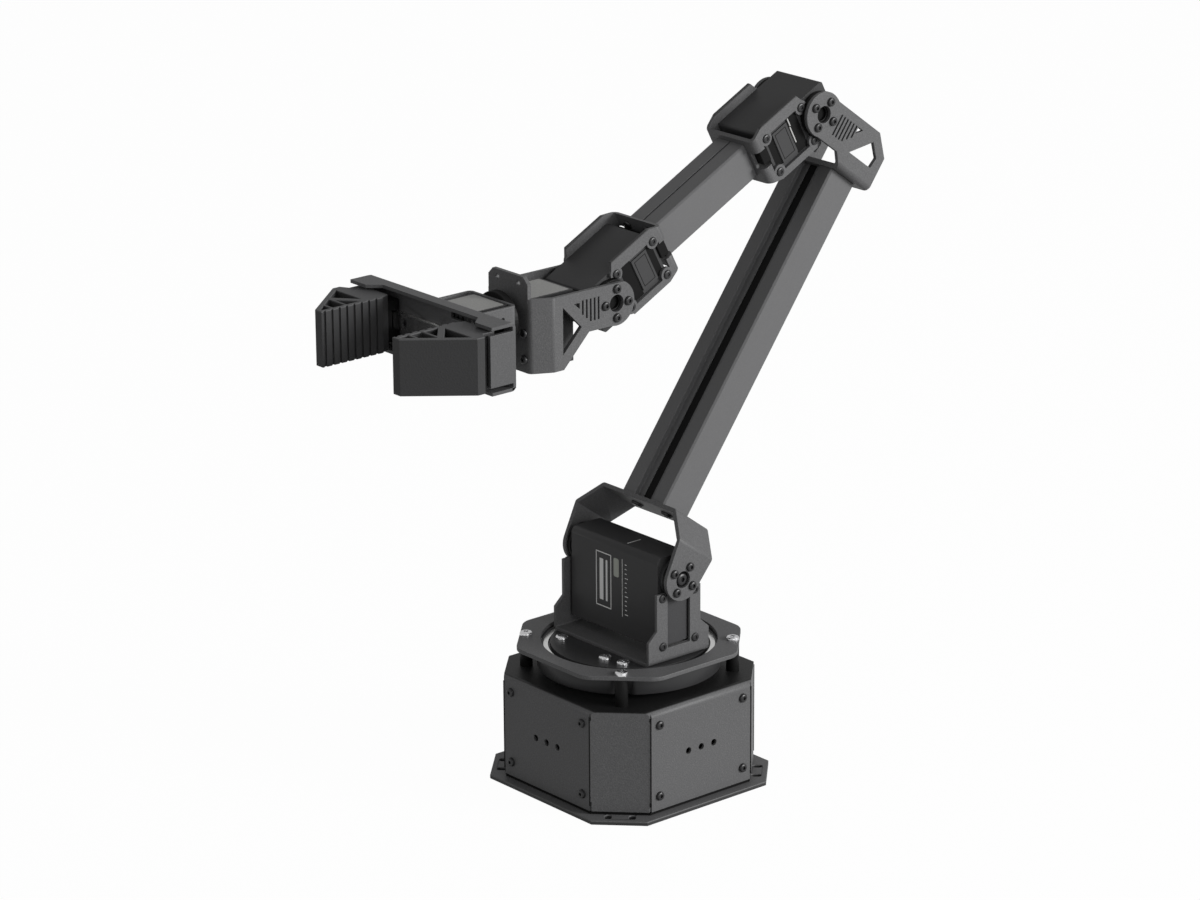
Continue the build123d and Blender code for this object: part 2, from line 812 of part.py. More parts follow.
# Elbow bracket: a fork on the tube's upper end that reaches back over it to the elbow axis
with BuildPart() as elbow_bracket:
    with BuildSketch(plan_plane(elbow, upper_angle, -elbow_round)):
        with BuildLine():
            FilletPolyline(
                (elbow_round, fork_half),
                (-elbow_seat, fork_half),
                (-elbow_seat, -fork_half),
                (elbow_round, -fork_half),
                radius=fork_bend_radius,
            )
            offset(amount=fork_sheet, side=Side.LEFT)
        make_face()
    extrude(amount=elbow_web_back + elbow_round)
    with BuildSketch(side_plane(elbow, upper_angle)):
        web_inner = -elbow_seat + fork_sheet
        web_corner = elbow_web_front - fork_sheet
        window_left = -elbow_seat + window_side
        with BuildLine():
            Polyline(
                (elbow_edge_top, 0),
                (elbow_edge_top, elbow_web_back - elbow_corner_run),
                (elbow_edge_top - elbow_corner_rise, elbow_web_back),
                (-elbow_seat, elbow_web_back),
                (-elbow_seat, elbow_web_front),
                (web_inner, web_corner),
                (elbow_edge_low, web_corner + web_inner - elbow_edge_low),
                (elbow_edge_low, 0),
                close=True,
            )
        make_face()
        Circle(elbow_round)
        Circle(horn_hole_radius, mode=Mode.SUBTRACT)
        for count in range(elbow_slot_count):
            place = fork_slot_first + count * fork_slot_pitch
            low = slot_bottom(place, fork_slot_first + elbow_level_slots * fork_slot_pitch)
            with Locations(((low + fork_slot_top) / 2, place)):
                Rectangle(fork_slot_top - low, fork_slot_width, mode=Mode.SUBTRACT)
        slots_end = fork_slot_first + elbow_slot_count * fork_slot_pitch - fork_slot_width
        with BuildLine():
            Polyline(
                (fork_slot_top, slots_end),
                (fork_slot_top, slots_end + elbow_notch_run),
                (fork_slot_top - elbow_notch_rise, slots_end),
                close=True,
            )
        make_face(mode=Mode.SUBTRACT)
        with BuildLine():
            Polyline(
                (window_left, elbow_web_front + window_front),
                (elbow_edge_top - window_rim, elbow_web_back - window_corner),
                (window_left + window_run, elbow_web_back - window_back),
                (window_left, elbow_web_back - window_back - window_slope),
                close=True,
            )
        make_face(mode=Mode.SUBTRACT)
    extrude(amount=fork_half, both=True, mode=Mode.INTERSECT)
elbow_bracket.part.label = "elbow_bracket"
export_step(elbow_bracket.part, "parts/elbow_bracket.step")

elbow_bracket_screws = side_screws(
    elbow, upper_angle, fork_half, horn_spots(horn_screw_radius), button_height
)
elbow_bracket_screws.part.label = "elbow_bracket_screws"
export_step(elbow_bracket_screws.part, "parts/elbow_bracket_screws.step")

# Tube screws under the yoke's web and inside the elbow bracket's web
tube_screw_side = (groove_half + upper_tube_half) / 2
tube_screw_across = (upper_tube_front + upper_tube_back) / 2
with BuildPart() as upper_tube_screws:
    with BuildSketch(end_plane(shoulder, upper_angle, yoke_reach - yoke_sheet)):
        with Locations((-tube_screw_side, tube_screw_across), (tube_screw_side, tube_screw_across)):
            RegularPolygon(pan_radius, head_sides)
    extrude(amount=-button_height)
    with BuildSketch(end_plane(elbow, upper_angle, -elbow_seat + fork_sheet)):
        across = tube_screw_across - elbow_offset
        with Locations((-tube_screw_side, across), (tube_screw_side, across)):
            RegularPolygon(button_radius, head_sides)
    extrude(amount=button_height)
upper_tube_screws.part.label = "upper_tube_screws"
export_step(upper_tube_screws.part, "parts/upper_tube_screws.step")


def fork_horns(pivot, near_name, far_name):
    """The driven and the idle horn of a small servo, between its clip and the fork's plates."""
    for side, name in ((1, near_name), (-1, far_name)):
        disc = horn(pivot, side, fork_horn_radius, small_case_side + face_clearance, fork_inner)
        disc.part.label = name
        export_step(disc.part, f"parts/{name}.step")


def servo_clip(pivot, facing):
    """Folded clip that holds a small servo: C-shaped walls with a pad at each of their screws."""
    pads = [(x, y) for x in (clip_pad_near, clip_pad_far) for y in (clip_pad_side, -clip_pad_side)]
    with BuildPart() as clip:
        with BuildSketch(plan_plane(pivot, forearm_angle, clip_low, facing)):
            with BuildLine():
                FilletPolyline(
                    (0, clip_half),
                    (clip_reach, clip_half),
                    (clip_reach, -clip_half),
                    (0, -clip_half),
                    radius=clip_bend_radius,
                )
                offset(amount=clip_sheet, side=Side.RIGHT)
            make_face()
        extrude(amount=clip_top - clip_low)
        with BuildSketch(side_plane(pivot, forearm_angle, 0, facing)):
            with BuildLine():
                Polyline(
                    (clip_pad_near - clip_pad_radius, clip_pad_side),
                    (clip_pad_near, clip_top),
                    (clip_pad_far, clip_top),
                    (clip_reach, clip_web_top),
                    (clip_reach, clip_web_low),
                    (clip_pad_far, clip_low),
                    (clip_pad_near, clip_low),
                    (clip_pad_near - clip_pad_radius, -clip_pad_side),
                    close=True,
                )
            make_face()
            with Locations((0, 0)):
                Rectangle(
                    clip_window_end,
                    2 * clip_window_half,
                    align=(Align.MIN, Align.CENTER),
                    mode=Mode.SUBTRACT,
                )
            with Locations(*pads):
                Circle(clip_pad_radius)
            Circle(clip_relief, mode=Mode.SUBTRACT)
        extrude(amount=clip_half, both=True, mode=Mode.INTERSECT)
        with BuildSketch(side_plane(pivot, forearm_angle, 0, facing)):
            with Locations((clip_pad_far, (clip_notch_low + clip_notch_high) / 2)):
                Rectangle(
                    clip_reach - clip_pad_far,
                    clip_notch_high - clip_notch_low,
                    align=(Align.MIN, Align.CENTER),
                )
        extrude(amount=clip_half, both=True, mode=Mode.SUBTRACT)
        with BuildSketch(side_plane(pivot, forearm_angle, 0, facing)):
            with Locations((clip_reach, (clip_notch_low + clip_notch_high) / 2)):
                Rectangle(
                    clip_sheet,
                    clip_notch_high - clip_notch_low,
                    align=(Align.MAX, Align.CENTER),
                )
        extrude(amount=clip_half - clip_bend_radius - clip_sheet, both=True)
    return clip


def small_servo(pivot, facing):
    """Servo with its shaft on the pivot, a raised panel on each side and a stub shaft each way."""
    with BuildPart() as servo:
        with BuildSketch(side_plane(pivot, forearm_angle, 0, facing)):
            with Locations((-small_case_front, 0)):
                Rectangle(
                    small_case_front + small_case_rear,
                    2 * small_case_half,
                    align=(Align.MIN, Align.CENTER),
                )
        extrude(amount=small_case_side, both=True)
        fillet(servo.edges().filter_by(Axis.Y), small_case_round)
        with BuildSketch(side_plane(pivot, forearm_angle, 0, facing)):
            with Locations((small_panel_near, 0)):
                Rectangle(
                    small_panel_far - small_panel_near,
                    2 * small_panel_half,
                    align=(Align.MIN, Align.CENTER),
                )
        extrude(amount=small_case_side + small_panel_height, both=True)
        with BuildSketch(side_plane(pivot, forearm_angle, 0, facing)):
            Circle(shaft_radius)
        extrude(amount=small_case_side + clip_sheet, both=True)
    return servo


def clip_screws(pivot, facing):
    """The four screws on each side that hold a servo in its clip."""
    spots = [(x, y) for x in (clip_pad_near, clip_pad_far) for y in (clip_pad_side, -clip_pad_side)]
    return side_screws(pivot, forearm_angle, clip_half, spots, low_height, facing)


# Elbow: the servo sits in the forearm and turns against the fork on the upper arm
fork_horns(elbow, "elbow_horn", "elbow_idler_horn")

elbow_servo = small_servo(elbow, 1)
elbow_servo.part.label = "elbow_servo"
export_step(elbow_servo.part, "parts/elbow_servo.step")

elbow_servo_bracket = servo_clip(elbow, 1)
elbow_servo_bracket.part.label = "elbow_servo_bracket"
export_step(elbow_servo_bracket.part, "parts/elbow_servo_bracket.step")

elbow_servo_screws = clip_screws(elbow, 1)
elbow_servo_screws.part.label = "elbow_servo_screws"
export_step(elbow_servo_screws.part, "parts/elbow_servo_screws.step")

# Forearm tube, with a fine line along its top and underside
with BuildPart() as forearm_tube:
    with BuildSketch(end_plane(elbow, forearm_angle, clip_reach)) as forearm_section:
        with Locations((0, (forearm_tube_low + forearm_tube_high) / 2)):
            Rectangle(2 * forearm_tube_half, forearm_tube_high - forearm_tube_low)
        chamfer(forearm_section.vertices(), tube_edge)
        for face in (forearm_tube_low, forearm_tube_high):
            with Locations((0, face)):
                Rectangle(2 * forearm_groove_half, 2 * forearm_groove_depth, mode=Mode.SUBTRACT)
    extrude(amount=forearm_tube_length)
forearm_tube.part.label = "forearm_tube"
export_step(forearm_tube.part, "parts/forearm_tube.step")

# Wrist: the same clip and servo, turned to face the other way
wrist_servo = small_servo(wrist, -1)
wrist_servo.part.label = "wrist_servo"
export_step(wrist_servo.part, "parts/wrist_servo.step")

wrist_servo_bracket = servo_clip(wrist, -1)
wrist_servo_bracket.part.label = "wrist_servo_bracket"
export_step(wrist_servo_bracket.part, "parts/wrist_servo_bracket.step")

wrist_servo_screws = clip_screws(wrist, -1)
wrist_servo_screws.part.label = "wrist_servo_screws"
export_step(wrist_servo_screws.part, "parts/wrist_servo_screws.step")

fork_horns(wrist, "wrist_horn", "wrist_idler_horn")

# Wrist bracket: a fork folded from one sheet, with a web that carries the roll servo and two ears
with BuildPart() as wrist_bracket:
    with BuildSketch(plan_plane(wrist, level, wrist_web_low)):
        with BuildLine():
            FilletPolyline(
                (-wrist_round, fork_half),
                (wrist_bend_line, fork_half),
                (wrist_reach, wrist_web_half),
                (wrist_reach, -wrist_web_half),
                (wrist_bend_line, -fork_half),
                (-wrist_round, -fork_half),
                radius=fork_bend_radius,
            )
            offset(amount=fork_sheet, side=Side.RIGHT)
        make_face()
    extrude(amount=wrist_edge_top - wrist_web_low)
    with BuildSketch(side_plane(wrist, level)):
        with BuildLine():
            Polyline(
                (0, wrist_edge_top),
                (wrist_reach, wrist_edge_top),
                (wrist_reach, wrist_web_low),
                (wrist_slope_end, wrist_web_low),
                (wrist_slope_start, wrist_edge_low),
                (0, wrist_edge_low),
                close=True,
            )
        make_face()
        Circle(wrist_round)
        Circle(horn_hole_radius, mode=Mode.SUBTRACT)
        wrist_window_front = wrist_bend_line - wrist_window_inset
        for count in range(wrist_slot_count):
            place = fork_slot_first + count * fork_slot_pitch
            low = slot_bottom(place, fork_slot_first + wrist_level_slots * fork_slot_pitch)
            with Locations((place, (low + fork_slot_top) / 2)):
                Rectangle(fork_slot_width, fork_slot_top - low, mode=Mode.SUBTRACT)
        slots_end = fork_slot_first + wrist_slot_count * fork_slot_pitch - fork_slot_width / 2
        notch_top = fork_slot_top - wrist_notch_drop
        with BuildLine():
            Polyline(
                (slots_end, notch_top),
                (slots_end + wrist_notch_run, notch_top),
                (slots_end, notch_top - wrist_notch_rise),
                close=True,
            )
        make_face(mode=Mode.SUBTRACT)
        with BuildLine():
            Polyline(
                (wrist_window_front, wrist_window_middle + wrist_window_half),
                (wrist_window_front - wrist_window_depth, wrist_window_middle),
                (wrist_window_front, wrist_window_middle - wrist_window_half),
                close=True,
            )
        make_face(mode=Mode.SUBTRACT)
    extrude(amount=fork_half, both=True, mode=Mode.INTERSECT)
    with BuildSketch(end_plane(wrist, level, wrist_reach)) as ear_outline:
        with Locations((0, wrist_edge_top - fork_sheet)):
            Rectangle(
                2 * ear_half,
                ear_top - wrist_edge_top + fork_sheet,
                align=(Align.CENTER, Align.MIN),
            )
        chamfer(ear_outline.vertices().group_by(Axis.Y)[-1], fork_bend_radius)
        with Locations((ear_hole_side, ear_hole_height), (-ear_hole_side, ear_hole_height)):
            Circle(ear_hole_radius, mode=Mode.SUBTRACT)
    extrude(amount=-fork_sheet)
    with BuildSketch(end_plane(wrist, level, wrist_reach)):
        with Locations((0, -roll_drop)):
            Circle(roll_boss_radius + roll_boss_clearance)
    extrude(amount=-fork_sheet, mode=Mode.SUBTRACT)
wrist_bracket.part.label = "wrist_bracket"
export_step(wrist_bracket.part, "parts/wrist_bracket.step")

wrist_bracket_screws = side_screws(wrist, level, fork_half, horn_spots(horn_screw_radius), button_height)
wrist_bracket_screws.part.label = "wrist_bracket_screws"
export_step(wrist_bracket_screws.part, "parts/wrist_bracket_screws.step")

# Roll servo between the fork's plates, flanged to the inside of the web
roll_seat = wrist_reach - fork_sheet
with BuildPart() as roll_servo:
    with BuildSketch(end_plane(wrist, level, roll_seat)):
        with Locations((0, roll_case_low)):
            Rectangle(2 * roll_case_half, roll_case_top - roll_case_low, align=(Align.CENTER, Align.MIN))
    extrude(amount=-roll_case_length)
    with BuildSketch(end_plane(wrist, level, roll_seat)):
        with Locations((0, roll_case_low)):
            Rectangle(2 * roll_flange_half, roll_case_top - roll_case_low, align=(Align.CENTER, Align.MIN))
    extrude(amount=-roll_flange)
    with BuildSketch(end_plane(grip, level, roll_seat)):
        Circle(shaft_radius)
    extrude(amount=roll_stub)
roll_servo.part.label = "roll_servo"
export_step(roll_servo.part, "parts/roll_servo.step")

with BuildPart() as roll_servo_screws:
    with BuildSketch(end_plane(wrist, level, wrist_reach)):
        with Locations(*[(s * roll_screw_side, h) for s in (1, -1) for h in (roll_screw_high, roll_screw_low)]):
            RegularPolygon(button_radius, head_sides)
    extrude(amount=button_height)
roll_servo_screws.part.label = "roll_servo_screws"
export_step(roll_servo_screws.part, "parts/roll_servo_screws.step")

# Roll horn: a boss on the servo's shaft and the disc that carries the gripper
with BuildPart() as roll_horn:
    with BuildSketch(end_plane(grip, level, roll_boss_start)):
        Circle(roll_boss_radius)
    extrude(amount=roll_disc_start - roll_boss_start)
    with BuildSketch(end_plane(grip, level, roll_disc_start)):
        Circle(roll_disc_radius)
    extrude(amount=roll_disc_end - roll_disc_start)
    with BuildSketch(end_plane(grip, level, roll_boss_start)):
        Circle(shaft_radius + shaft_clearance)
    extrude(amount=roll_disc_start - roll_boss_start, mode=Mode.SUBTRACT)
roll_horn.part.label = "roll_horn"
export_step(roll_horn.part, "parts/roll_horn.step")

# Gripper servo bracket: a channel from the roll horn to the back of the frame
with BuildPart() as gripper_servo_bracket:
    with BuildSketch(plan_plane(grip, level, cradle_low)):
        with BuildLine():
            FilletPolyline(
                (frame_back, cradle_half),
                (roll_disc_end, cradle_half),
                (roll_disc_end, -cradle_half),
                (frame_back, -cradle_half),
                radius=bracket_bend,
            )
            offset(amount=cradle_sheet, side=Side.LEFT)
        make_face()
    extrude(amount=cradle_top - cradle_low)
    with BuildSketch(side_plane(grip, level)):
        with Locations((roll_disc_end, cradle_low)):
            Rectangle(
                cradle_neck_start - roll_disc_end,
                cradle_top - cradle_low,
                align=(Align.MIN, Align.MIN),
            )
        with Locations((roll_disc_end, 0)):
            Rectangle(frame_back - roll_disc_end, 2 * cradle_neck, align=(Align.MIN, Align.CENTER))
        with Locations((cradle_hole_x, cradle_hole_height)):
            Circle(cradle_hole_radius, mode=Mode.SUBTRACT)
    extrude(amount=cradle_half, both=True, mode=Mode.INTERSECT)
gripper_servo_bracket.part.label = "gripper_servo_bracket"
export_step(gripper_servo_bracket.part, "parts/gripper_servo_bracket.step")

grip_servo_back = roll_disc_end + cradle_sheet
with BuildPart() as gripper_servo:
    with BuildSketch(end_plane(grip, level, grip_servo_back)):
        with Locations((0, grip_servo_low)):
            Rectangle(2 * grip_servo_half, grip_servo_top - grip_servo_low, align=(Align.CENTER, Align.MIN))
    extrude(amount=grip_servo_front - grip_servo_back)
    with BuildSketch(end_plane(grip, level, grip_servo_front)):
        Circle(shaft_radius)
    extrude(amount=gear_face)
gripper_servo.part.label = "gripper_servo"
export_step(gripper_servo.part, "parts/gripper_servo.step")

# Gripper frame: one folded sheet with top and bottom plates, a slotted back and end flanges
lug_near = carriage_centre - lug_half - finger_travel - lug_clearance
lug_far = carriage_centre + lug_half + lug_clearance
with BuildPart() as gripper_frame:
    with BuildSketch(side_plane(grip, level)):
        with BuildLine():
            FilletPolyline(
                (frame_end_front, frame_half_height),
                (frame_back, frame_half_height),
                (frame_back, -frame_half_height),
                (frame_end_front, -frame_half_height),
                radius=frame_bend_radius,
            )
            offset(amount=frame_sheet, side=Side.LEFT)
        make_face()
    extrude(amount=frame_half_width, both=True)
    with BuildSketch(plan_plane(grip, level)):
        with BuildLine():
            Polyline(
                (frame_back, -frame_half_width),
                (frame_end_front, -frame_half_width),
                (frame_end_front, -frame_flare_end),
                (frame_front, -frame_flare_start),
                (frame_front, frame_flare_start),
                (frame_end_front, frame_flare_end),
                (frame_end_front, frame_half_width),
                (frame_back, frame_half_width),
                close=True,
            )
        make_face()
    extrude(amount=frame_half_height, both=True, mode=Mode.INTERSECT)
    for side in (1, -1):
        with BuildSketch(Plane(
            origin=(grip[0], side * frame_half_width, grip[1]),
            x_dir=(1, 0, 0),
            z_dir=(0, -side, 0),
        )):
            with Locations((frame_back, 0)):
                Rectangle(
                    flange_front - frame_back,
                    2 * flange_half_height,
                    align=(Align.MIN, Align.CENTER),
                )
        extrude(amount=flange_sheet)
        with BuildSketch(Plane(
            origin=(grip[0] + frame_back, 0, grip[1]),
            x_dir=(0, side, 0),
            z_dir=(1, 0, 0),
        )):
            with Locations((lug_near, lug_low - lug_clearance)):
                Rectangle(
                    lug_far - lug_near,
                    lug_high - lug_low + 2 * lug_clearance,
                    align=(Align.MIN, Align.MIN),
                )
            Circle(pinion_pivot_radius + shaft_clearance)
        extrude(amount=frame_sheet, mode=Mode.SUBTRACT)
gripper_frame.part.label = "gripper_frame"
export_step(gripper_frame.part, "parts/gripper_frame.step")

# Guide rail across the front of the frame's back, waisted so that the carriages can't lift off
rail_back = frame_back + frame_sheet
rail_front = rail_back + rail_height
rail_third = rail_height / 3
with BuildPart() as guide_rail:
    with BuildSketch(side_plane(grip, level)):
        with Locations((rail_back, 0)):
            Rectangle(rail_height, 2 * rail_half, align=(Align.MIN, Align.CENTER))
        with Locations((rail_back + rail_third, rail_half), (rail_back + rail_third, -rail_half)):
            Rectangle(rail_third, 2 * rail_waist, align=(Align.MIN, Align.CENTER), mode=Mode.SUBTRACT)
    extrude(amount=rail_half_length, both=True)
    with BuildSketch(end_plane(grip, level, rail_front)):
        with Locations((rail_screw_spacing, 0), (-rail_screw_spacing, 0)):
            Circle(rail_screw_radius)
    extrude(amount=-rail_third, mode=Mode.SUBTRACT)
guide_rail.part.label = "guide_rail"
export_step(guide_rail.part, "parts/guide_rail.step")

with BuildPart() as rail_screws:
    with BuildSketch(end_plane(grip, level, rail_front - rail_third)):
        with Locations((rail_screw_spacing, 0), (-rail_screw_spacing, 0)):
            Circle(rail_screw_radius - shaft_clearance)
    extrude(amount=rail_third - side_clearance)
rail_screws.part.label = "rail_screws"
export_step(rail_screws.part, "parts/rail_screws.step")

# Gear sizes
pitch_radius = gear_module * pinion_teeth / 2
tooth_thickness = math.pi * gear_module / 2 - tooth_backlash
tooth_slope = math.tan(math.radians(pressure_angle))
base_radius = pitch_radius * math.cos(math.radians(pressure_angle))
pinion_root = pitch_radius - gear_module - root_clearance
rack_tip = pitch_radius - gear_module
rack_root = pitch_radius + gear_module + root_clearance
rack_top = rack_root + rack_back_height


def involute(angle):
    """Involute function of a pressure angle in radians."""
    return math.tan(angle) - angle


def half_tooth_angle(radius):
    """Half of a pinion tooth's angle at a radius, in radians."""
    pressure = math.acos(min(1.0, base_radius / radius))
    at_pitch = tooth_thickness / (2 * pitch_radius)
    return at_pitch + involute(math.radians(pressure_angle)) - involute(pressure)


# Pinion: involute teeth, with one tooth straight up in the rest position
flank = (pinion_root, base_radius, pitch_radius, pitch_radius + gear_module)
tooth_points = []
for tooth in range(pinion_teeth):
    middle = math.pi / 2 - tooth * 2 * math.pi / pinion_teeth
    for side, radii in ((1, flank), (-1, flank[::-1])):
        for radius in radii:
            angle = middle + side * half_tooth_angle(radius)
            tooth_points.append((radius * math.cos(angle), radius * math.sin(angle)))
with BuildPart() as gripper_pinion:
    with BuildSketch(end_plane(grip, level, gear_back)):
        with BuildLine():
            Polyline(*tooth_points, close=True)
        make_face()
    extrude(amount=gear_face)
    with BuildSketch(end_plane(grip, level, gear_back + gear_face)):
        Circle(pinion_pivot_radius)
    extrude(amount=frame_back + frame_sheet - gear_back - gear_face)
    with BuildSketch(end_plane(grip, level, gear_back)):
        Circle(shaft_radius + shaft_clearance)
    extrude(amount=gear_face - (gear_back - grip_servo_front) + side_clearance, mode=Mode.SUBTRACT)
gripper_pinion.part.label = "gripper_pinion"
export_step(gripper_pinion.part, "parts/gripper_pinion.step")


def finger_rack(side):
    """Rack behind the frame: above the pinion for the left finger, below it for the right one."""
    pitch = math.pi * gear_module
    root_half = tooth_thickness / 2 + (rack_root - pitch_radius) * tooth_slope
    first = math.ceil((rack_inner_end + root_half) / pitch - 0.5)
    last = math.floor((rack_outer_end - root_half) / pitch - 0.5)
    tip_half = tooth_thickness / 2 - gear_module * tooth_slope
    outline = [(rack_inner_end, rack_top), (rack_inner_end, rack_root)]
    for count in range(first, last + 1):
        middle = (count + 0.5) * pitch
        outline.append((middle - root_half, rack_root))
        outline.append((middle - tip_half, rack_tip))
        outline.append((middle + tip_half, rack_tip))
        outline.append((middle + root_half, rack_root))
    outline += [(rack_outer_end, rack_root), (rack_outer_end, rack_top)]
    with BuildPart() as rack:
        with BuildSketch(Plane(
            origin=(grip[0] + gear_back, 0, grip[1]),
            x_dir=(0, side, 0),
            z_dir=(1, 0, 0),
        )):
            with BuildLine():
                Polyline(*outline, close=True)
            make_face()
        extrude(amount=gear_face)
    return rack


def finger_carriage(side):
    """Carriage round the rail, with a lug that reaches back through the frame to the rack."""
    rail_gap = slide_clearance
    with BuildPart() as carriage:
        with BuildSketch(side_plane(grip, level)):
            with Locations((carriage_back, 0)):
                Rectangle(
                    carriage_front - carriage_back,
                    2 * carriage_half_height,
                    align=(Align.MIN, Align.CENTER),
                )
            with Locations((carriage_back, 0)):
                Rectangle(
                    rail_front + rail_gap - carriage_back,
                    2 * (rail_half + rail_gap),
                    align=(Align.MIN, Align.CENTER),
                    mode=Mode.SUBTRACT,
                )
            for edge, align in ((rail_half + rail_gap, Align.MAX), (-rail_half - rail_gap, Align.MIN)):
                with Locations((rail_back + rail_third + rail_gap, edge)):
                    Rectangle(rail_third - 2 * rail_gap, rail_waist, align=(Align.MIN, align))
        extrude(amount=carriage_half_length, both=True)
    lug_plane = Plane(
        origin=(grip[0], side * carriage_centre, grip[1]),
        x_dir=(1, 0, 0),
        z_dir=(0, -side, 0),
    )
    with BuildPart() as moved:
        add(carriage.part.moved(Location((0, side * carriage_centre, 0))))
        with BuildSketch(lug_plane):
            with Locations((gear_back + gear_face, lug_low)):
                Rectangle(
                    rail_front - gear_back - gear_face,
                    lug_high - lug_low,
                    align=(Align.MIN, Align.MIN),
                )
        extrude(amount=lug_half, both=True)
    return moved


def finger(side):
    """Finger with a ribbed gripping face and a truss of pockets behind it."""
    plan = Plane(origin=(grip[0], side * carriage_centre, grip[1]), x_dir=(1, 0, 0), z_dir=(0, 0, side))
    body_inner = finger_inner + rib_height
    slant = math.atan2(finger_shoulder_y - finger_tip_outer, finger_tip - finger_shoulder_x)
    pocket_line = finger_inner + finger_wall
    pocket_front = finger_tip - finger_wall
    outer_front = finger_tip_outer + finger_wall * (math.tan(slant) - 1 / math.cos(slant))
    outer_back = outer_front + (pocket_front - pocket_back) * math.tan(slant)
    with BuildPart() as body:
        with BuildSketch(plan):
            with BuildLine():
                Polyline(
                    (finger_tip, finger_inner),
                    (finger_tip, finger_tip_outer),
                    (finger_shoulder_x, finger_shoulder_y),
                    (finger_heel_x, finger_shoulder_y),
                    (finger_heel_x - finger_wall, finger_root_outer),
                    (carriage_front, finger_root_outer),
                    (carriage_front, finger_root_inner),
                    (finger_root_step, body_inner),
                    (rib_first, body_inner),
                    (rib_first, finger_inner),
                    close=True,
                )
            make_face()
            for count in range(1, rib_count + 1):
                with Locations((rib_first - count * rib_pitch, body_inner)):
                    Rectangle(rib_width, 2 * rib_height, align=(Align.MIN, Align.CENTER))
        extrude(amount=finger_half_height, both=True)
        with BuildSketch(plan):
            with BuildLine():
                Polyline(
                    (pocket_front, pocket_line),
                    (pocket_front, outer_front),
                    (pocket_back, outer_back),
                    (pocket_back, pocket_line),
                    close=True,
                )
            make_face()
            for strut_x in (strut_front, strut_rear):
                with BuildLine():
                    Line((strut_x, finger_inner), (strut_x, finger_shoulder_y))
                trace(line_width=strut_width, mode=Mode.SUBTRACT)
            with BuildLine():
                Line((pocket_back, pocket_line), (strut_rear, pocket_line + brace_climb))
            trace(line_width=brace_width, mode=Mode.SUBTRACT)
        extrude(amount=finger_half_height, both=True, mode=Mode.SUBTRACT)
    return body


# The two fingers, each with its rack and carriage
for side, name in ((1, "left"), (-1, "right")):
    rack = finger_rack(side)
    rack.part.label = f"rack_{name}"
    export_step(rack.part, f"parts/rack_{name}.step")
    carriage = finger_carriage(side)
    carriage.part.label = f"carriage_{name}"
    export_step(carriage.part, f"parts/carriage_{name}.step")
    body = finger(side)
    body.part.label = f"finger_{name}"
    export_step(body.part, f"parts/finger_{name}.step")
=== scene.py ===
# %% [markdown]
# # A desktop robot arm, dressed for its portrait
# The arm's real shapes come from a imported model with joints: plates, tubes, servos and fingers.
# This lesson gives those shapes their finishes, swaps the plain screw heads for detailed ones,
# adds the small parts that only the eye needs, and sets up the studio.

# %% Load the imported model
import bmesh
import bpy
import json
import math
from mathutils import Matrix, Vector


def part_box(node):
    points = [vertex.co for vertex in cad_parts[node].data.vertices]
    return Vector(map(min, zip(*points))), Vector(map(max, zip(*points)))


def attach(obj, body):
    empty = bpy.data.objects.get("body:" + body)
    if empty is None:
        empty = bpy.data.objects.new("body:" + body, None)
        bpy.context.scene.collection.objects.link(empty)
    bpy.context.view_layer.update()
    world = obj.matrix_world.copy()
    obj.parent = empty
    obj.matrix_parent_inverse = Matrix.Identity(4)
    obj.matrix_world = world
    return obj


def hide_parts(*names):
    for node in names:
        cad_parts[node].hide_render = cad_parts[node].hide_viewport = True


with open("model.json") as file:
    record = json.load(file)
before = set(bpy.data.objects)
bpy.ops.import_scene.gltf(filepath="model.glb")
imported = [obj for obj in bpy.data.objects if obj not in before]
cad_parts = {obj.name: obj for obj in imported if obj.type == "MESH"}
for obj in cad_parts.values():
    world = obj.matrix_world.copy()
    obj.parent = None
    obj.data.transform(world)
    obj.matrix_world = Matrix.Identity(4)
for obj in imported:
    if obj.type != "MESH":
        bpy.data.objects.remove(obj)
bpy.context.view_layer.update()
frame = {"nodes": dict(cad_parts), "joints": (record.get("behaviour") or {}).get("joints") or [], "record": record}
nodes = frame["nodes"]
mm = 0.001

# %% [markdown]
# ## Where the joints are
# New parts on the links are placed from the joints of the imported record, so they follow when a
# joint is moved there. The forearm slopes down, so a small helper turns distances along the forearm
# and across it into a place in the arm's side view. The marks on the shoulder servo and the lines
# of the base have given heights instead.

# %% Joint positions
joint_at = {j["name"]: Vector(j["pos_m"]) for j in frame["joints"] if "pos_m" in j}
shoulder, elbow, wrist = (joint_at[n] for n in ("shoulder_pitch", "elbow_pitch", "wrist_pitch"))
forearm_dir = (wrist - elbow).normalized()
upper_low, upper_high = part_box("upper_arm_tube")
print("elbow", [round(v, 4) for v in elbow], "wrist", [round(v, 4) for v in wrist])


def link_place(pivot, along_dir, facing=1):
    """Matrix for a link's side view: X runs from the pivot along the link, Z across it, Y stays Y."""
    along = along_dir * facing
    across = Vector((-along.z, 0, along.x)) * facing
    turn = Matrix((along, Vector((0, 1, 0)), across)).transposed()
    return Matrix.Translation(pivot) @ turn.to_4x4()


# %% [markdown]
# ## Effects that several finishes share
# Powder coat, anodising and moulded plastic are all a flat colour that is broken up on three
# scales: a slow drift over the whole part, a grain of a fraction of a millimetre, and a few
# brighter flecks. Each effect is one node group, built once, with its own values in each material.

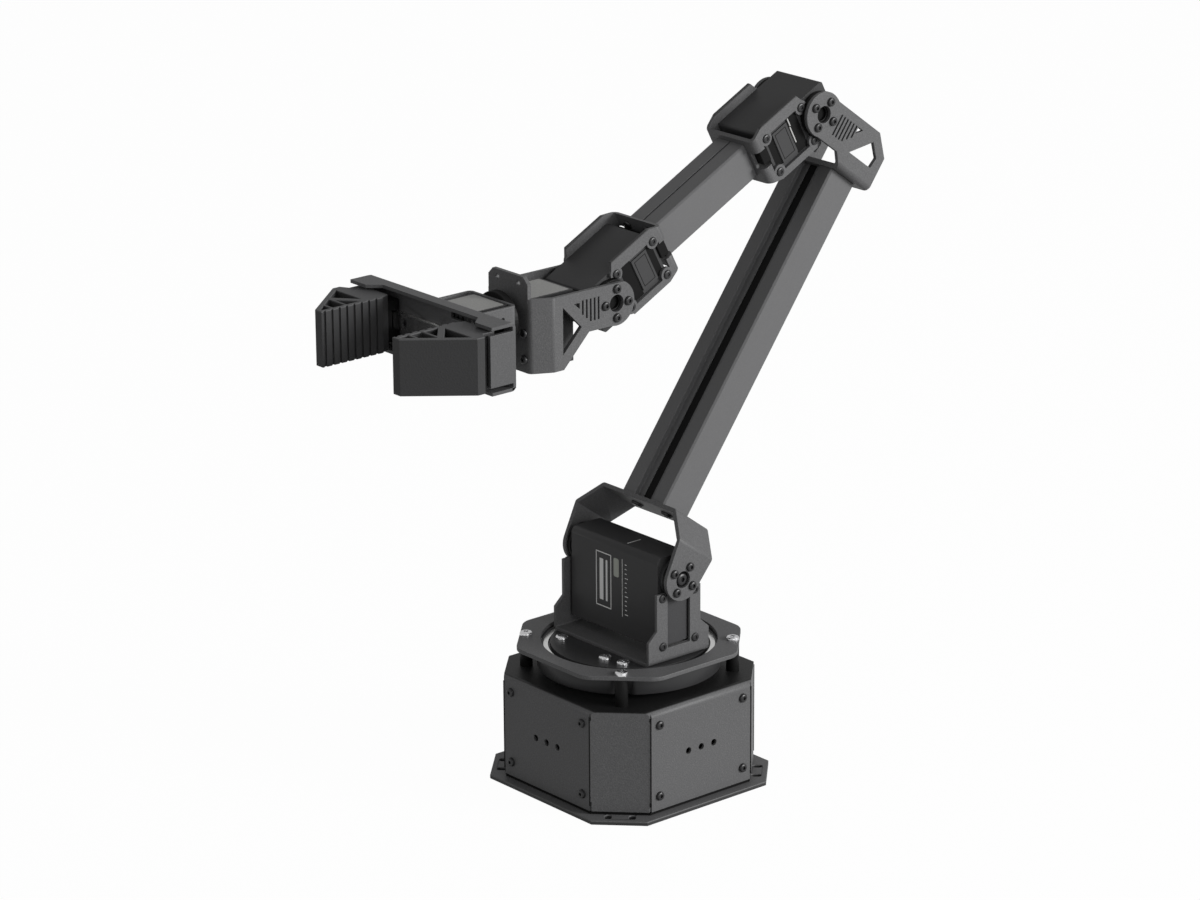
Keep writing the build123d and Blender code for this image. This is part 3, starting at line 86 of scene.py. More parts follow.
# %% Node group helper
def new_group(name, inputs, outputs):
    """An empty shader group with named sockets, and its input and output nodes."""
    tree = bpy.data.node_groups.new(name, "ShaderNodeTree")
    for socket, kind in inputs:
        tree.interface.new_socket(socket, in_out="INPUT", socket_type=kind)
    for socket, kind in outputs:
        tree.interface.new_socket(socket, in_out="OUTPUT", socket_type=kind)
    return tree, tree.nodes.new("NodeGroupInput"), tree.nodes.new("NodeGroupOutput")


def wire(tree, *pairs):
    """Links output sockets to input sockets, given as pairs."""
    for out_socket, in_socket in pairs:
        tree.links.new(out_socket, in_socket)


def math_node(tree, operation, *values):
    """A Math node with numbers set or sockets linked into it."""
    node = tree.nodes.new("ShaderNodeMath")
    node.operation = operation
    for slot_index, value in enumerate(values):
        if isinstance(value, (int, float)):
            node.inputs[slot_index].default_value = value
        else:
            tree.links.new(value, node.inputs[slot_index])
    return node.outputs[0]


# %% Coat grain: fine bumps, and a tone that follows them, with flecks
grain_group, g_in, g_out = new_group(
    "coat_grain",
    [
        ("Position", "NodeSocketVector"),
        ("Grain per metre", "NodeSocketFloat"),
        ("Flecks", "NodeSocketFloat"),
    ],
    [("Height", "NodeSocketFloat"), ("Fleck", "NodeSocketFloat")],
)
grain_noise = grain_group.nodes.new("ShaderNodeTexNoise")
grain_noise.inputs["Detail"].default_value = 2.0
fleck_noise = grain_group.nodes.new("ShaderNodeTexVoronoi")
flecks_per_grain = 0.8
fleck_scale = math_node(
    grain_group, "MULTIPLY", g_in.outputs["Grain per metre"], flecks_per_grain
)
fleck_edge = grain_group.nodes.new("ShaderNodeMapRange")
fleck_edge.inputs["From Min"].default_value = 0.30
fleck_edge.inputs["From Max"].default_value = 0.06
wire(
    grain_group,
    (g_in.outputs["Position"], grain_noise.inputs["Vector"]),
    (g_in.outputs["Grain per metre"], grain_noise.inputs["Scale"]),
    (g_in.outputs["Position"], fleck_noise.inputs["Vector"]),
    (fleck_scale, fleck_noise.inputs["Scale"]),
    (fleck_noise.outputs["Distance"], fleck_edge.inputs["Value"]),
    (grain_noise.outputs["Fac"], g_out.inputs["Height"]),
)
grain_swing = math_node(grain_group, "SUBTRACT", grain_noise.outputs["Fac"], 0.5)
grain_contrast = 1.6
grain_and_flecks = math_node(
    grain_group, "MULTIPLY_ADD", grain_swing, grain_contrast, fleck_edge.outputs["Result"]
)
fleck_share = math_node(grain_group, "MULTIPLY", grain_and_flecks, g_in.outputs["Flecks"])
wire(grain_group, (fleck_share, g_out.inputs["Fleck"]))

# %% Tone drift: slow variation of a colour over the part, with flecks lifted out of it
drift_group, d_in, d_out = new_group(
    "tone_drift",
    [
        ("Position", "NodeSocketVector"),
        ("Color", "NodeSocketColor"),
        ("Drift", "NodeSocketFloat"),
        ("Fleck", "NodeSocketFloat"),
    ],
    [("Color", "NodeSocketColor"), ("Drift", "NodeSocketFloat")],
)
drift_noise = drift_group.nodes.new("ShaderNodeTexNoise")
drift_noise.inputs["Scale"].default_value = 38.0
drift_noise.inputs["Detail"].default_value = 3.0
drift_swing = math_node(drift_group, "SUBTRACT", drift_noise.outputs["Fac"], 0.5)
drift_amount = math_node(drift_group, "MULTIPLY", drift_swing, d_in.outputs["Drift"])
drift_lift = math_node(drift_group, "ADD", drift_amount, 1.0)
drift_total = math_node(drift_group, "ADD", drift_lift, d_in.outputs["Fleck"])
drift_mix = drift_group.nodes.new("ShaderNodeVectorMath")
drift_mix.operation = "SCALE"
wire(
    drift_group,
    (d_in.outputs["Position"], drift_noise.inputs["Vector"]),
    (d_in.outputs["Color"], drift_mix.inputs[0]),
    (drift_total, drift_mix.inputs["Scale"]),
    (drift_mix.outputs["Vector"], d_out.inputs["Color"]),
    (drift_amount, d_out.inputs["Drift"]),
)

# %% Drawn lines: long fine streaks, as an extrusion die or a brush leaves them
lines_group, l_in, l_out = new_group(
    "drawn_lines",
    [
        ("Position", "NodeSocketVector"),
        ("Tilt", "NodeSocketVector"),
        ("Stretch", "NodeSocketVector"),
    ],
    [("Height", "NodeSocketFloat")],
)
lines_map = lines_group.nodes.new("ShaderNodeMapping")
lines_noise = lines_group.nodes.new("ShaderNodeTexNoise")
lines_noise.inputs["Scale"].default_value = 1.0
lines_noise.inputs["Detail"].default_value = 3.0
wire(
    lines_group,
    (l_in.outputs["Position"], lines_map.inputs["Vector"]),
    (l_in.outputs["Tilt"], lines_map.inputs["Rotation"]),
    (l_in.outputs["Stretch"], lines_map.inputs["Scale"]),
    (lines_map.outputs["Vector"], lines_noise.inputs["Vector"]),
    (lines_noise.outputs["Fac"], l_out.inputs["Height"]),
)

# %% Painted side shade: a colour that changes past a plane, for painted shade and painted highlight
painted_light_group, s_in, s_out = new_group(
    "painted_light_past_plane",
    [
        ("Position", "NodeSocketVector"),
        ("Axis", "NodeSocketVector"),
        ("Color", "NodeSocketColor"),
        ("Start", "NodeSocketFloat"),
        ("End", "NodeSocketFloat"),
        ("Share", "NodeSocketFloat"),
    ],
    [("Color", "NodeSocketColor")],
)
shade_along = painted_light_group.nodes.new("ShaderNodeVectorMath")
shade_along.operation = "DOT_PRODUCT"
shade_range = painted_light_group.nodes.new("ShaderNodeMapRange")
shade_range.inputs["To Min"].default_value = 1.0
shade_scale = painted_light_group.nodes.new("ShaderNodeVectorMath")
shade_scale.operation = "SCALE"
wire(
    painted_light_group,
    (s_in.outputs["Position"], shade_along.inputs[0]),
    (s_in.outputs["Axis"], shade_along.inputs[1]),
    (shade_along.outputs["Value"], shade_range.inputs["Value"]),
    (s_in.outputs["Start"], shade_range.inputs["From Min"]),
    (s_in.outputs["End"], shade_range.inputs["From Max"]),
    (s_in.outputs["Share"], shade_range.inputs["To Max"]),
    (s_in.outputs["Color"], shade_scale.inputs[0]),
    (shade_range.outputs["Result"], shade_scale.inputs["Scale"]),
    (shade_scale.outputs["Vector"], s_out.inputs["Color"]),
)
print("groups", [g.name for g in bpy.data.node_groups])


# %% [markdown]
# ## Finishes
# Every finish is one Principled shader that reads the shared groups on Object coordinates, so a
# grain keeps its real size on every part. What differs is the tone, how rough it is, how fine and
# how deep the grain is, and whether it is metal.

# %% Finish maker
rough_swing = 0.3


def use_group(tree, group, place, values):
    """Places a shared group in a material, reads it at a position and sets its values."""
    node = tree.nodes.new("ShaderNodeGroup")
    node.node_tree = group
    tree.links.new(place, node.inputs["Position"])
    for socket, value in values.items():
        node.inputs[socket].default_value = value
    return node


def finish(name, color, roughness, grain=900.0, depth=0.06, drift=0.12, flecks=0.0, metallic=0.0,
           specular=0.35, lines=None, painted_light_plane=None):
    """A painted, anodised, moulded or bare metal finish."""
    material = bpy.data.materials.new(name)
    material.use_nodes = True
    tree = material.node_tree
    shader = tree.nodes["Principled BSDF"]
    shader.inputs["Metallic"].default_value = metallic
    shader.inputs["Specular IOR Level"].default_value = specular
    place = tree.nodes.new("ShaderNodeTexCoord").outputs["Object"]
    grain_use = use_group(tree, grain_group, place, {"Grain per metre": grain, "Flecks": flecks})
    drift_use = use_group(tree, drift_group, place, {"Color": (*color, 1), "Drift": drift})
    height = grain_use.outputs["Height"]
    if lines:
        tilt, stretch = lines
        lines_use = use_group(tree, lines_group, place, {"Tilt": tilt, "Stretch": stretch})
        height = math_node(tree, "ADD", height, lines_use.outputs["Height"])
    tone = drift_use.outputs["Color"]
    # Painted light: past a plane the tone is multiplied, darker for painted shade and lighter for a painted
    # highlight.
    if painted_light_plane:
        past_plane = dict(zip(("Axis", "Start", "End", "Share"), painted_light_plane))
        shade_use = use_group(tree, painted_light_group, place, past_plane)
        wire(tree, (tone, shade_use.inputs["Color"]))
        tone = shade_use.outputs["Color"]
    bump = tree.nodes.new("ShaderNodeBump")
    bump.inputs["Strength"].default_value = depth
    bump.inputs["Distance"].default_value = 0.4 * mm
    swing = math_node(tree, "MULTIPLY", drift_use.outputs["Drift"], rough_swing)
    rough = math_node(tree, "ADD", swing, roughness)
    wire(
        tree,
        (grain_use.outputs["Fleck"], drift_use.inputs["Fleck"]),
        (tone, shader.inputs["Base Color"]),
        (rough, shader.inputs["Roughness"]),
        (height, bump.inputs["Height"]),
        (bump.outputs["Normal"], shader.inputs["Normal"]),
    )
    return material


# %% [markdown]
# The tubes are extrusions, and the die leaves fine lines along them. Their finish has faint streaks
# of noise that a Mapping node squeezes. That node scales before it turns, so the streaks lie level,
# along X, and don't follow a tube's slope: the tilt only moves to another stretch of the noise.

# %% The finishes of this arm
forearm_tilt = math.atan2(forearm_dir.z, forearm_dir.x)
coat = ((0.104, 0.104, 0.106), 0.50, 1500, 0.20, 0.08, 0.45)
finger_moulding = ((0.040, 0.040, 0.041), 0.55, 1100, 0.20, 0.10)
finger_shine = 0.25
finishes = {
    "sheet_metal": finish("powder_coat", *coat),
    "frame_metal": finish("frame_coat", (0.088, 0.088, 0.090), 0.46, 1500, 0.16, 0.10, 0.35),
    "tube_metal": finish(
        "tube_anodising", (0.128, 0.128, 0.130), 0.42, 1200, 0.04, 0.06, 0.08,
        lines=((0, forearm_tilt, 0), (30, 1600, 1600)),
    ),
    "turntable_metal": finish(
        "turntable_anodising", (0.030, 0.030, 0.031), 0.40, 1400, 0.06, 0.15
    ),
    "servo_case": finish(
        "servo_anodising", (0.052, 0.052, 0.053), 0.42, 1600, 0.05, 0.10, specular=0.2
    ),
    "servo_plastic": finish(
        "servo_moulding", (0.021, 0.021, 0.022), 0.46, 1300, 0.12, 0.12, specular=0.4
    ),
    "finger_plastic": finish("finger_moulding", *finger_moulding, specular=finger_shine),
    "gear_plastic": finish(
        "gear_moulding", (0.035, 0.035, 0.036), 0.45, 1300, 0.08, 0.10, specular=0.25
    ),
    "horn_metal": finish(
        "horn_anodising", (0.008, 0.008, 0.008), 0.45, 1500, 0.06, 0.12, specular=0.12
    ),
    "black_steel": finish(
        "black_oxide", (0.014, 0.014, 0.015), 0.36, 1400, 0.06, 0.25, specular=0.5
    ),
    "bright_steel": finish(
        "bright_plating", (0.86, 0.86, 0.87), 0.22, 900, 0.03, 0.08, metallic=1.0
    ),
    "rail_steel": finish(
        "ground_steel", (0.95, 0.95, 0.94), 0.20, 900, 0.04, 0.06, metallic=1.0,
        lines=((0, 0, 0), (2600, 40, 2600)),
    ),
    "bearing_steel": finish(
        "bearing_polish", (0.92, 0.92, 0.91), 0.22, 900, 0.03, 0.05, metallic=1.0
    ),
    "cage_brass": finish("cage_metal", (0.45, 0.36, 0.18), 0.35, 1100, 0.06, 0.15, metallic=1.0),
}
# Black for the dark seams and panel lines, and for painted shade in recesses, gaps, hub holes and groove cores.
black_and_painted_shade = finish("black_and_painted_shade", (0.006, 0.006, 0.006), 0.6, 1300, 0.10, 0.2, specular=0.1)
pale_panel = finish("pale_panel", (0.34, 0.34, 0.33), 0.55, 1500, 0.12, 0.08, 0.3, specular=0.3)
panel_grey = finish(
    "panel_coat", (0.050, 0.050, 0.052), 0.45, 1500, 0.10, 0.08, 0.2, specular=0.25
)
pale_print = finish("pale_print", (0.86, 0.86, 0.85), 0.55, 1200, 0.04, 0.06)
window_tint = finish("window_tint", (0.40, 0.42, 0.37), 0.22, 500, 0.02, 0.35)
connector_white = finish("connector_moulding", (0.42, 0.42, 0.41), 0.45, 1200, 0.08, 0.10)
print("finishes", [material.name for material in finishes.values()])

# %% [markdown]
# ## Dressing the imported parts
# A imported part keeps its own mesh, so its edges are razor sharp, which no folded or moulded part
# has. A Weld modifier joins its loose triangles, and a narrow Bevel breaks the sharp edges, so
# that they catch the light. The part's own mesh isn't touched.

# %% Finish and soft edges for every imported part
slot_of = {row["node"]: row["material_slot"] for row in frame["record"]["subparts"]}
bodies = frame["record"]["behaviour"]["bodies"]
body_of = {node: body for body, members in bodies.items() for node in members}
edge_radius = {
    "sheet_metal": 0.22, "frame_metal": 0.22, "tube_metal": 0.25, "turntable_metal": 0.3,
    "servo_case": 0.4, "servo_plastic": 0.4, "finger_plastic": 0.35, "horn_metal": 0.2,
}
join_distance = 0.002 * mm
for name, part in nodes.items():
    part.data.materials.clear()
    part.data.materials.append(finishes[slot_of[name]])
    radius = edge_radius.get(slot_of[name])
    if radius and not name.endswith("_screws"):
        weld = part.modifiers.new("join_triangles", "WELD")
        weld.merge_threshold = join_distance
        bevel = part.modifiers.new("soft_edges", "BEVEL")
        bevel.width = radius * mm
        bevel.segments = 2
        bevel.limit_method = "ANGLE"
        bevel.angle_limit = math.radians(50)
        bevel.harden_normals = False
for name in ("shoulder_gear_cover", "shoulder_rear_cover"):
    nodes[name].data.materials[0] = panel_grey
print("dressed", len(nodes), "parts")

# %% [markdown]
# Some parts get painted light on one side. The housing's flat top is painted nearly black as
# painted shade. The lower part of the plate's edge and the clips' upper cut edges get painted shade,
# which makes them darker than their faces. The fingers' ribs get a painted highlight on top.
# The shared painted-light group changes the tone past a plane, here given as an axis, a depth below
# the part's furthest point along that axis, and what the tone is multiplied by beyond it.

# %% Painted shade and painted highlight past a plane
up = Vector((0, 0, 1))
clip_up = link_place(elbow, forearm_dir).to_3x3() @ up
tone_step = 0.3
# Each part gets painted shade past its plane. The fingers get a painted highlight instead.
for name, axis, depth, share in (
    ("base_housing", up, 0.5, 0.06),
    ("base_plate", -up, 1.6, 0.3),
    ("elbow_servo_bracket", clip_up, 0.6, 0.4),
    ("wrist_servo_bracket", clip_up, 0.6, 0.5),
    ("finger_left", up, 0.6, 2.2),
    ("finger_right", up, 0.6, 2.2),
):
    furthest = max(vert.co.dot(axis) for vert in nodes[name].data.vertices)
    plane = (tuple(axis), furthest - depth * mm, furthest - (depth - tone_step) * mm, share)
    if slot_of[name] == "finger_plastic":
        tone = finish(f"{name}_painted_light_tones", *finger_moulding, specular=finger_shine, painted_light_plane=plane)
    else:
        tone = finish(f"{name}_painted_light_tones", *coat, painted_light_plane=plane)
    nodes[name].data.materials[0] = tone
    print(name, "tone past", round(furthest / mm - depth, 2), "mm")


# %% [markdown]
# ## Screws
# On the real arm nearly all screws are black button heads with a hexagonal socket, and the ones on
# the ring and the turntable are bright pan heads with a cross recess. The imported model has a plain
# disc for each. A head is made once: a capped circle is extruded in a few rings to a dome, its
# flat top is cut by planes along the recess, and the recess is pushed in.

# %% From bmesh to object
def new_object(name, bm, material):
    """Turns a bmesh into an object of the scene with one material."""
    mesh = bpy.data.meshes.new(name)
    bm.to_mesh(mesh)
    bm.free()
    piece = bpy.data.objects.new(name, mesh)
    bpy.context.scene.collection.objects.link(piece)
    mesh.materials.append(material)
    return piece


# %% [markdown]
# The dome is a short table of steps, each a share of the head's radius and of its height. The
# recesses are shares too, so one function serves every size of screw.

# %% One screw head
head_segments = 24
dome = ((1.0, 0.35), (0.965, 0.62), (0.86, 0.86), (0.66, 1.0))
hex_reach, cross_arm, cross_reach, recess_depth = 0.36, 0.11, 0.46, 0.55


def cut_top(bm, directions, offset):
    """Cuts the whole head with vertical planes, one for each direction."""
    for angle in directions:
        normal = Vector((math.cos(angle), math.sin(angle), 0))
        bmesh.ops.bisect_plane(
            bm, geom=bm.verts[:] + bm.edges[:] + bm.faces[:],
            plane_co=normal * offset, plane_no=normal,
        )


def screw_head(radius, height, recess):
    """A domed head, base at the origin and top along Z, with a hexagonal or crossed recess."""
    bm = bmesh.new()
    bmesh.ops.create_circle(bm, cap_ends=True, radius=radius, segments=head_segments)
    top = bm.faces[:][0]
    last_scale, last_height = 1.0, 0.0
    for scale, rise in dome:
        grown = bmesh.ops.extrude_face_region(bm, geom=[top])
        verts = [g for g in grown["geom"] if isinstance(g, bmesh.types.BMVert)]
        faces = [g for g in grown["geom"] if isinstance(g, bmesh.types.BMFace)]
        bmesh.ops.translate(bm, verts=verts, vec=(0, 0, (rise - last_height) * height))
        ratio = scale / last_scale
        bmesh.ops.scale(bm, verts=verts, vec=(ratio, ratio, 1))
        if last_height and top.is_valid:
            bmesh.ops.delete(bm, geom=[top], context="FACES_ONLY")
        top, last_scale, last_height = faces[0], scale, rise
    flat_z = height * last_height
    if recess == "hex":
        reach = radius * hex_reach
        flats = [math.radians(60 * k) for k in range(6)]
        cut_top(bm, flats, reach)

        def inside(centre):
            return all(centre.x * math.cos(a) + centre.y * math.sin(a) < reach for a in flats)
    else:
        arm, reach = radius * cross_arm, radius * cross_reach
        quarters = [0, math.pi / 2, math.pi, -math.pi / 2]
        cut_top(bm, quarters, arm)
        cut_top(bm, quarters, reach)

        def inside(centre):
            x, y = abs(centre.x), abs(centre.y)
            return min(x, y) < arm and max(x, y) < reach
    pit = [
        face for face in bm.faces
        if abs(face.calc_center_median().z - flat_z) < 1e-7 and face.normal.z > 0.5
        and inside(face.calc_center_median())
    ]
    sunk = bmesh.ops.extrude_face_region(bm, geom=pit)
    deep = [g for g in sunk["geom"] if isinstance(g, bmesh.types.BMVert)]
    bmesh.ops.delete(bm, geom=[f for f in pit if f.is_valid], context="FACES_ONLY")
    bmesh.ops.translate(bm, verts=deep, vec=(0, 0, -recess_depth * height))
    mesh = bpy.data.meshes.new(f"{recess}_head")
    bmesh.ops.remove_doubles(bm, verts=bm.verts[:], dist=0.0005 * mm)
    bmesh.ops.recalc_face_normals(bm, faces=bm.faces[:])
    bm.to_mesh(mesh)
    bm.free()
    return mesh


# %% [markdown]
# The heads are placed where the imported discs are. Each disc is a loose island of its node's mesh:
# its middle gives the place, the direction of its largest flat area gives the axis, and its extents
# give the head's radius and height. Each head is turned further than the last, because real screws
# don't all stop at the same angle. The islands come out of a set, which has no fixed order, so
# which head gets which turn can differ from one run to the next.

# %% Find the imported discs
def discs(node):
    """(middle, axis, radius, height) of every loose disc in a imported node."""
    bm = bmesh.new()
    bm.from_mesh(nodes[node].data)
    bmesh.ops.remove_doubles(bm, verts=bm.verts[:], dist=join_distance)
    waiting, found = set(bm.verts), []
    while waiting:
        island, edge_of_island = set(), [waiting.pop()]
        while edge_of_island:
            vert = edge_of_island.pop()
            island.add(vert)
            for edge in vert.link_edges:
                other = edge.other_vert(vert)
                if other in waiting:
                    waiting.discard(other)
                    edge_of_island.append(other)
        faces = {face for vert in island for face in vert.link_faces}
        areas = {}
        for face in faces:
            key = tuple(round(abs(c), 2) for c in face.normal)
            areas.setdefault(key, [0.0, face.normal.copy()])[0] += face.calc_area()
        axis = max(areas.values(), key=lambda a: a[0])[1].normalized()
        heights = [vert.co.dot(axis) for vert in island]
        middle = sum((vert.co for vert in island), Vector()) / len(island)
        middle += axis * ((max(heights) + min(heights)) / 2 - middle.dot(axis))
        arms = [vert.co - middle for vert in island]
        radius = max((arm - axis * arm.dot(axis)).length for arm in arms)
        found.append((middle, axis, radius, max(heights) - min(heights)))
    bm.free()
    return found


# %% Place a detailed head on every disc
tube_middle = (upper_low + upper_high) / 2
outward_rules = {
    "housing_screws": lambda p: Vector((p.x, p.y, 0)),
    "ring_screws": lambda p: Vector((0, 0, 1)),
    "turntable_screws": lambda p: Vector((0, 0, 1)),
    "upper_tube_screws": lambda p: p - tube_middle,
    "roll_servo_screws": lambda p: Vector((1, 0, 0)),
    "rail_screws": lambda p: Vector((1, 0, 0)),
}
turn_per_screw = 0.7
for node in sorted(n for n in nodes if n.endswith("_screws")):
    recess = "cross" if slot_of[node] == "bright_steel" else "hex"
    outward = outward_rules.get(node, lambda p: Vector((0, p.y, 0)))
    bm = bmesh.new()
    heads = {}
    found = discs(node)
    for count, (middle, axis, radius, height) in enumerate(found):
        if axis.dot(outward(middle)) < 0:
            axis = -axis
        size = (round(radius / mm, 2), round(height / mm, 2))
        if size not in heads:
            heads[size] = screw_head(radius, height, recess)
        before = len(bm.verts)
        bm.from_mesh(heads[size])
        bm.verts.ensure_lookup_table()
        spin = Matrix.Rotation(turn_per_screw * count, 4, "Z")
        turn = axis.to_track_quat("Z", "Y").to_matrix().to_4x4()
        place = Matrix.Translation(middle - axis * height / 2) @ turn @ spin
        bmesh.ops.transform(bm, matrix=place, verts=bm.verts[before:])
    piece = new_object(f"{node}_detail", bm, finishes[slot_of[node]])
    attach(piece, body_of[node])
    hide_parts(node)
    print(node, len(found), "heads")


# %% [markdown]
# ## Plates, bars and strips
# The remaining details are small flat parts: an inlaid strip, a window, a connector. Each starts
# as a bmesh cube that is scaled to size. A bevel rounds its corners where they show, and it is then
# moved into its place, on a link in the side view of that link.

# %% Rounded block maker
def runs_along(edge, axis):
    """Whether an edge is parallel to a main axis."""
    return abs((edge.verts[0].co - edge.verts[1].co).normalized()[axis]) > 0.9


def block(bm, middle, size, corner=0.0, place=Matrix.Identity(4), round_axis=None, turn=0.0):
    """Adds a block in millimetres, its edges along round_axis rounded, turned in degrees about Z."""
    made = bmesh.ops.create_cube(bm, size=1.0)
    verts = made["verts"]
    bmesh.ops.scale(bm, verts=verts, vec=[s * mm for s in size])
    if corner:
        edges = {
            e for v in verts for e in v.link_edges
            if round_axis is None or runs_along(e, round_axis)
        }
        rounded = bmesh.ops.bevel(
            bm, geom=list(edges), offset=corner * mm, offset_type="OFFSET", segments=3,
            profile=0.5, affect="EDGES", material=-1,
        )
        verts = list({v for v in verts if v.is_valid} | set(rounded["verts"]))
    about_z = Matrix.Rotation(math.radians(turn), 3, "Z")
    bmesh.ops.rotate(bm, verts=verts, cent=(0, 0, 0), matrix=about_z)
    bmesh.ops.translate(bm, verts=verts, vec=[m * mm for m in middle])
    bmesh.ops.transform(bm, matrix=place, verts=verts)


def add_piece(name, bm, body, material, replaced=()):
    """Closes a bmesh into a piece that rides on a body."""
    bmesh.ops.recalc_face_normals(bm, faces=bm.faces[:])
    piece = new_object(name, bm, material)
    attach(piece, body)
    if replaced:
        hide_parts(*replaced)
    print(name, len(piece.data.polygons), "faces")


# %% [markdown]
# ## Shoulder servo
# The big servo's broad face carries a panel with a small tinted window. The panel here is plain:
# an outline, a few bars and a row of ticks, which is no maker's design. They are inlaid, a few
# hundredths of a millimetre proud of the case.

# %% Marks on the shoulder servo
case_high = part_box("shoulder_servo")[1]
face_x = case_high.x / mm
tick_start, tick_pitch = 82.0, 2.2
marks = bmesh.new()
for middle_y, middle_z, width, tall in (
    (-12.6, 95.0, 0.5, 26.0),
    (-2.4, 95.0, 0.5, 26.0),
    (-7.5, 108.0, 10.7, 0.5),
    (-7.5, 82.0, 10.7, 0.5),
    (-9.0, 95.0, 2.6, 20.0),
    (-5.4, 95.0, 1.2, 20.0),
    (5.6, 94.5, 0.35, 28.0),
):
    block(marks, (face_x, middle_y, middle_z), (0.08, width, tall), 0.2, round_axis=0)
for tick in range(12):
    tall = 2.2 if tick % 4 == 0 else 1.3
    tick_z = tick_start + tick * tick_pitch
    block(marks, (face_x, 7.4 + tall / 2, tick_z), (0.08, tall, 0.35), 0.1, round_axis=0)
add_piece("shoulder_servo_marks", marks, "turret", pale_print)

window = bmesh.new()
block(window, (face_x, 1.4, 103.2), (0.12, 3.6, 9.0), 0.9, round_axis=0)
add_piece("shoulder_servo_window", window, "turret", window_tint)

top_z = case_high.z / mm
slot_bm = bmesh.new()
block(slot_bm, (1.0, 4.9, top_z), (8.2, 0.5, 0.08), 0.2, round_axis=2)
add_piece("shoulder_servo_slot", slot_bm, "turret", pale_print)

# %% [markdown]
# ## The small servos in their clips
# Through each clip's window the side of the servo shows. Black inlays in the recesses on both sides
# of the raised panel are painted shade. A fine dark line runs round the panel. A black block in the
# gap between the servo and the clip's web is painted shade. Black discs at the ends of the servo's
# shafts are painted shade in the middle of the horns. Apart from the block, these are thin inlays
# over the imported case, which keeps its own shape.

# %% Painted shade in the recesses, the gap and the shaft ends; lines round the panels
case_side = 14.5
panel_side = case_side + 0.7
inlay = 0.1
shaft_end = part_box("elbow_servo")[1].y
shaft_radius = 3.0 * mm
for name, pivot, facing in (("elbow", elbow, 1), ("wrist", wrist, -1)):
    place = link_place(pivot, forearm_dir, facing)
    recess, line = bmesh.new(), bmesh.new()
    # Black inlays in the recesses beside each panel: painted shade.
    for side in (1, -1):
        block(recess, (14.4, side * case_side, 0), (6.8, inlay, 20.0), 0, place)
        block(recess, (29.6, side * case_side, 0), (3.8, inlay, 16.4), 0, place)
        for along, across, length, tall in (
            (19.4, 0, 0.3, 13.6),
            (26.2, 0, 0.3, 13.6),
            (22.8, 6.7, 7.1, 0.3),
            (22.8, -6.7, 7.1, 0.3),
        ):
            block(line, (along, side * panel_side, across), (length, inlay, tall), 0, place)
    # A black block in the gap between the servo and the clip's web: painted shade.
    block(recess, (35.5, 0, 2.2), (4.8, 31.2, 7.4), 0.4, place)
    # Black discs at the shaft ends: painted shade in the hub holes.
    for side in (1, -1):
        cap = bmesh.ops.create_cone(
            recess, cap_ends=True, segments=32,
            radius1=shaft_radius, radius2=shaft_radius, depth=inlay * mm,
        )
        turn = Matrix.Translation((0, side * shaft_end, 0)) @ Matrix.Rotation(math.pi / 2, 4, "X")
        bmesh.ops.transform(recess, matrix=place @ turn, verts=cap["verts"])
    add_piece(f"{name}_servo_painted_shade", recess, "forearm", black_and_painted_shade)
    add_piece(f"{name}_servo_panel_line", line, "forearm", black_and_painted_shade)

# %% [markdown]
# From above, two screw heads show on the inside of the wrist clip's web, so the same head maker is
# used once more, with the heads turned to look along the link.

# %% Screw heads inside the wrist clip's web
web_heads = bmesh.new()
place = link_place(wrist, forearm_dir, -1)
web_inside, head_rise = 38.1, 8.6
head_radius, head_height = 2.0 * mm, 1.2 * mm
for head_y in (-7.5, 6.0):
    before = len(web_heads.verts)
    web_heads.from_mesh(screw_head(head_radius, head_height, "hex"))
    web_heads.verts.ensure_lookup_table()
    turn = Matrix.Translation(Vector((web_inside, head_y, head_rise)) * mm)
    turn = turn @ Matrix.Rotation(-math.pi / 2, 4, "Y")
    bmesh.ops.transform(web_heads, matrix=place @ turn, verts=web_heads.verts[before:])
add_piece("wrist_web_screw_heads", web_heads, "forearm", finishes["black_steel"])

# %% [markdown]
# The elbow servo also shows the pale edges of two connectors in its wide recess, a short one above
# a long one. Each is a narrow block with its edges rounded, the same on both sides.

# %% Connectors on the elbow servo
place = link_place(elbow, forearm_dir)
plugs = bmesh.new()
plug_side = case_side + 0.3
for side in (1, -1):
    block(plugs, (16.5, side * plug_side, 7.0), (0.7, 0.6, 4.2), 0.1, place)
    block(plugs, (16.9, side * plug_side, 0.2), (0.7, 0.6, 8.6), 0.1, place)
add_piece("elbow_connectors", plugs, "forearm", connector_white)

# %% [markdown]
# ## Pale panels on the two end servos
# The roll servo and the gripper servo carry a pale satin panel on their upper side.

# %% Panels on the roll and gripper servos
panel_margin, panel_width = 2.4, 21.0
for name, body, end in (("roll_servo", "wrist", 43.0), ("gripper_servo", "gripper", 78.0)):
    case_low, case_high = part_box(name)
    low_x, high_x = case_low.x / mm, wrist.x / mm + end
    middle = ((low_x + high_x) / 2, 0, case_high.z / mm)
    top = bmesh.new()
    block(top, middle, (high_x - low_x - panel_margin, panel_width, 0.12), 0.8, round_axis=2)
    add_piece(f"{name}_panel", top, body, pale_panel)

# %% [markdown]
# ## Roll horn
# The horn that carries the gripper is a small turned disc on a boss. It is spun from its half
# profile: a row of edges is turned through a full circle round the roll axis. The profile starts at
# the rim of the bore for the servo's shaft, and the bore's wall isn't in it, so the spun shell is
# open there.

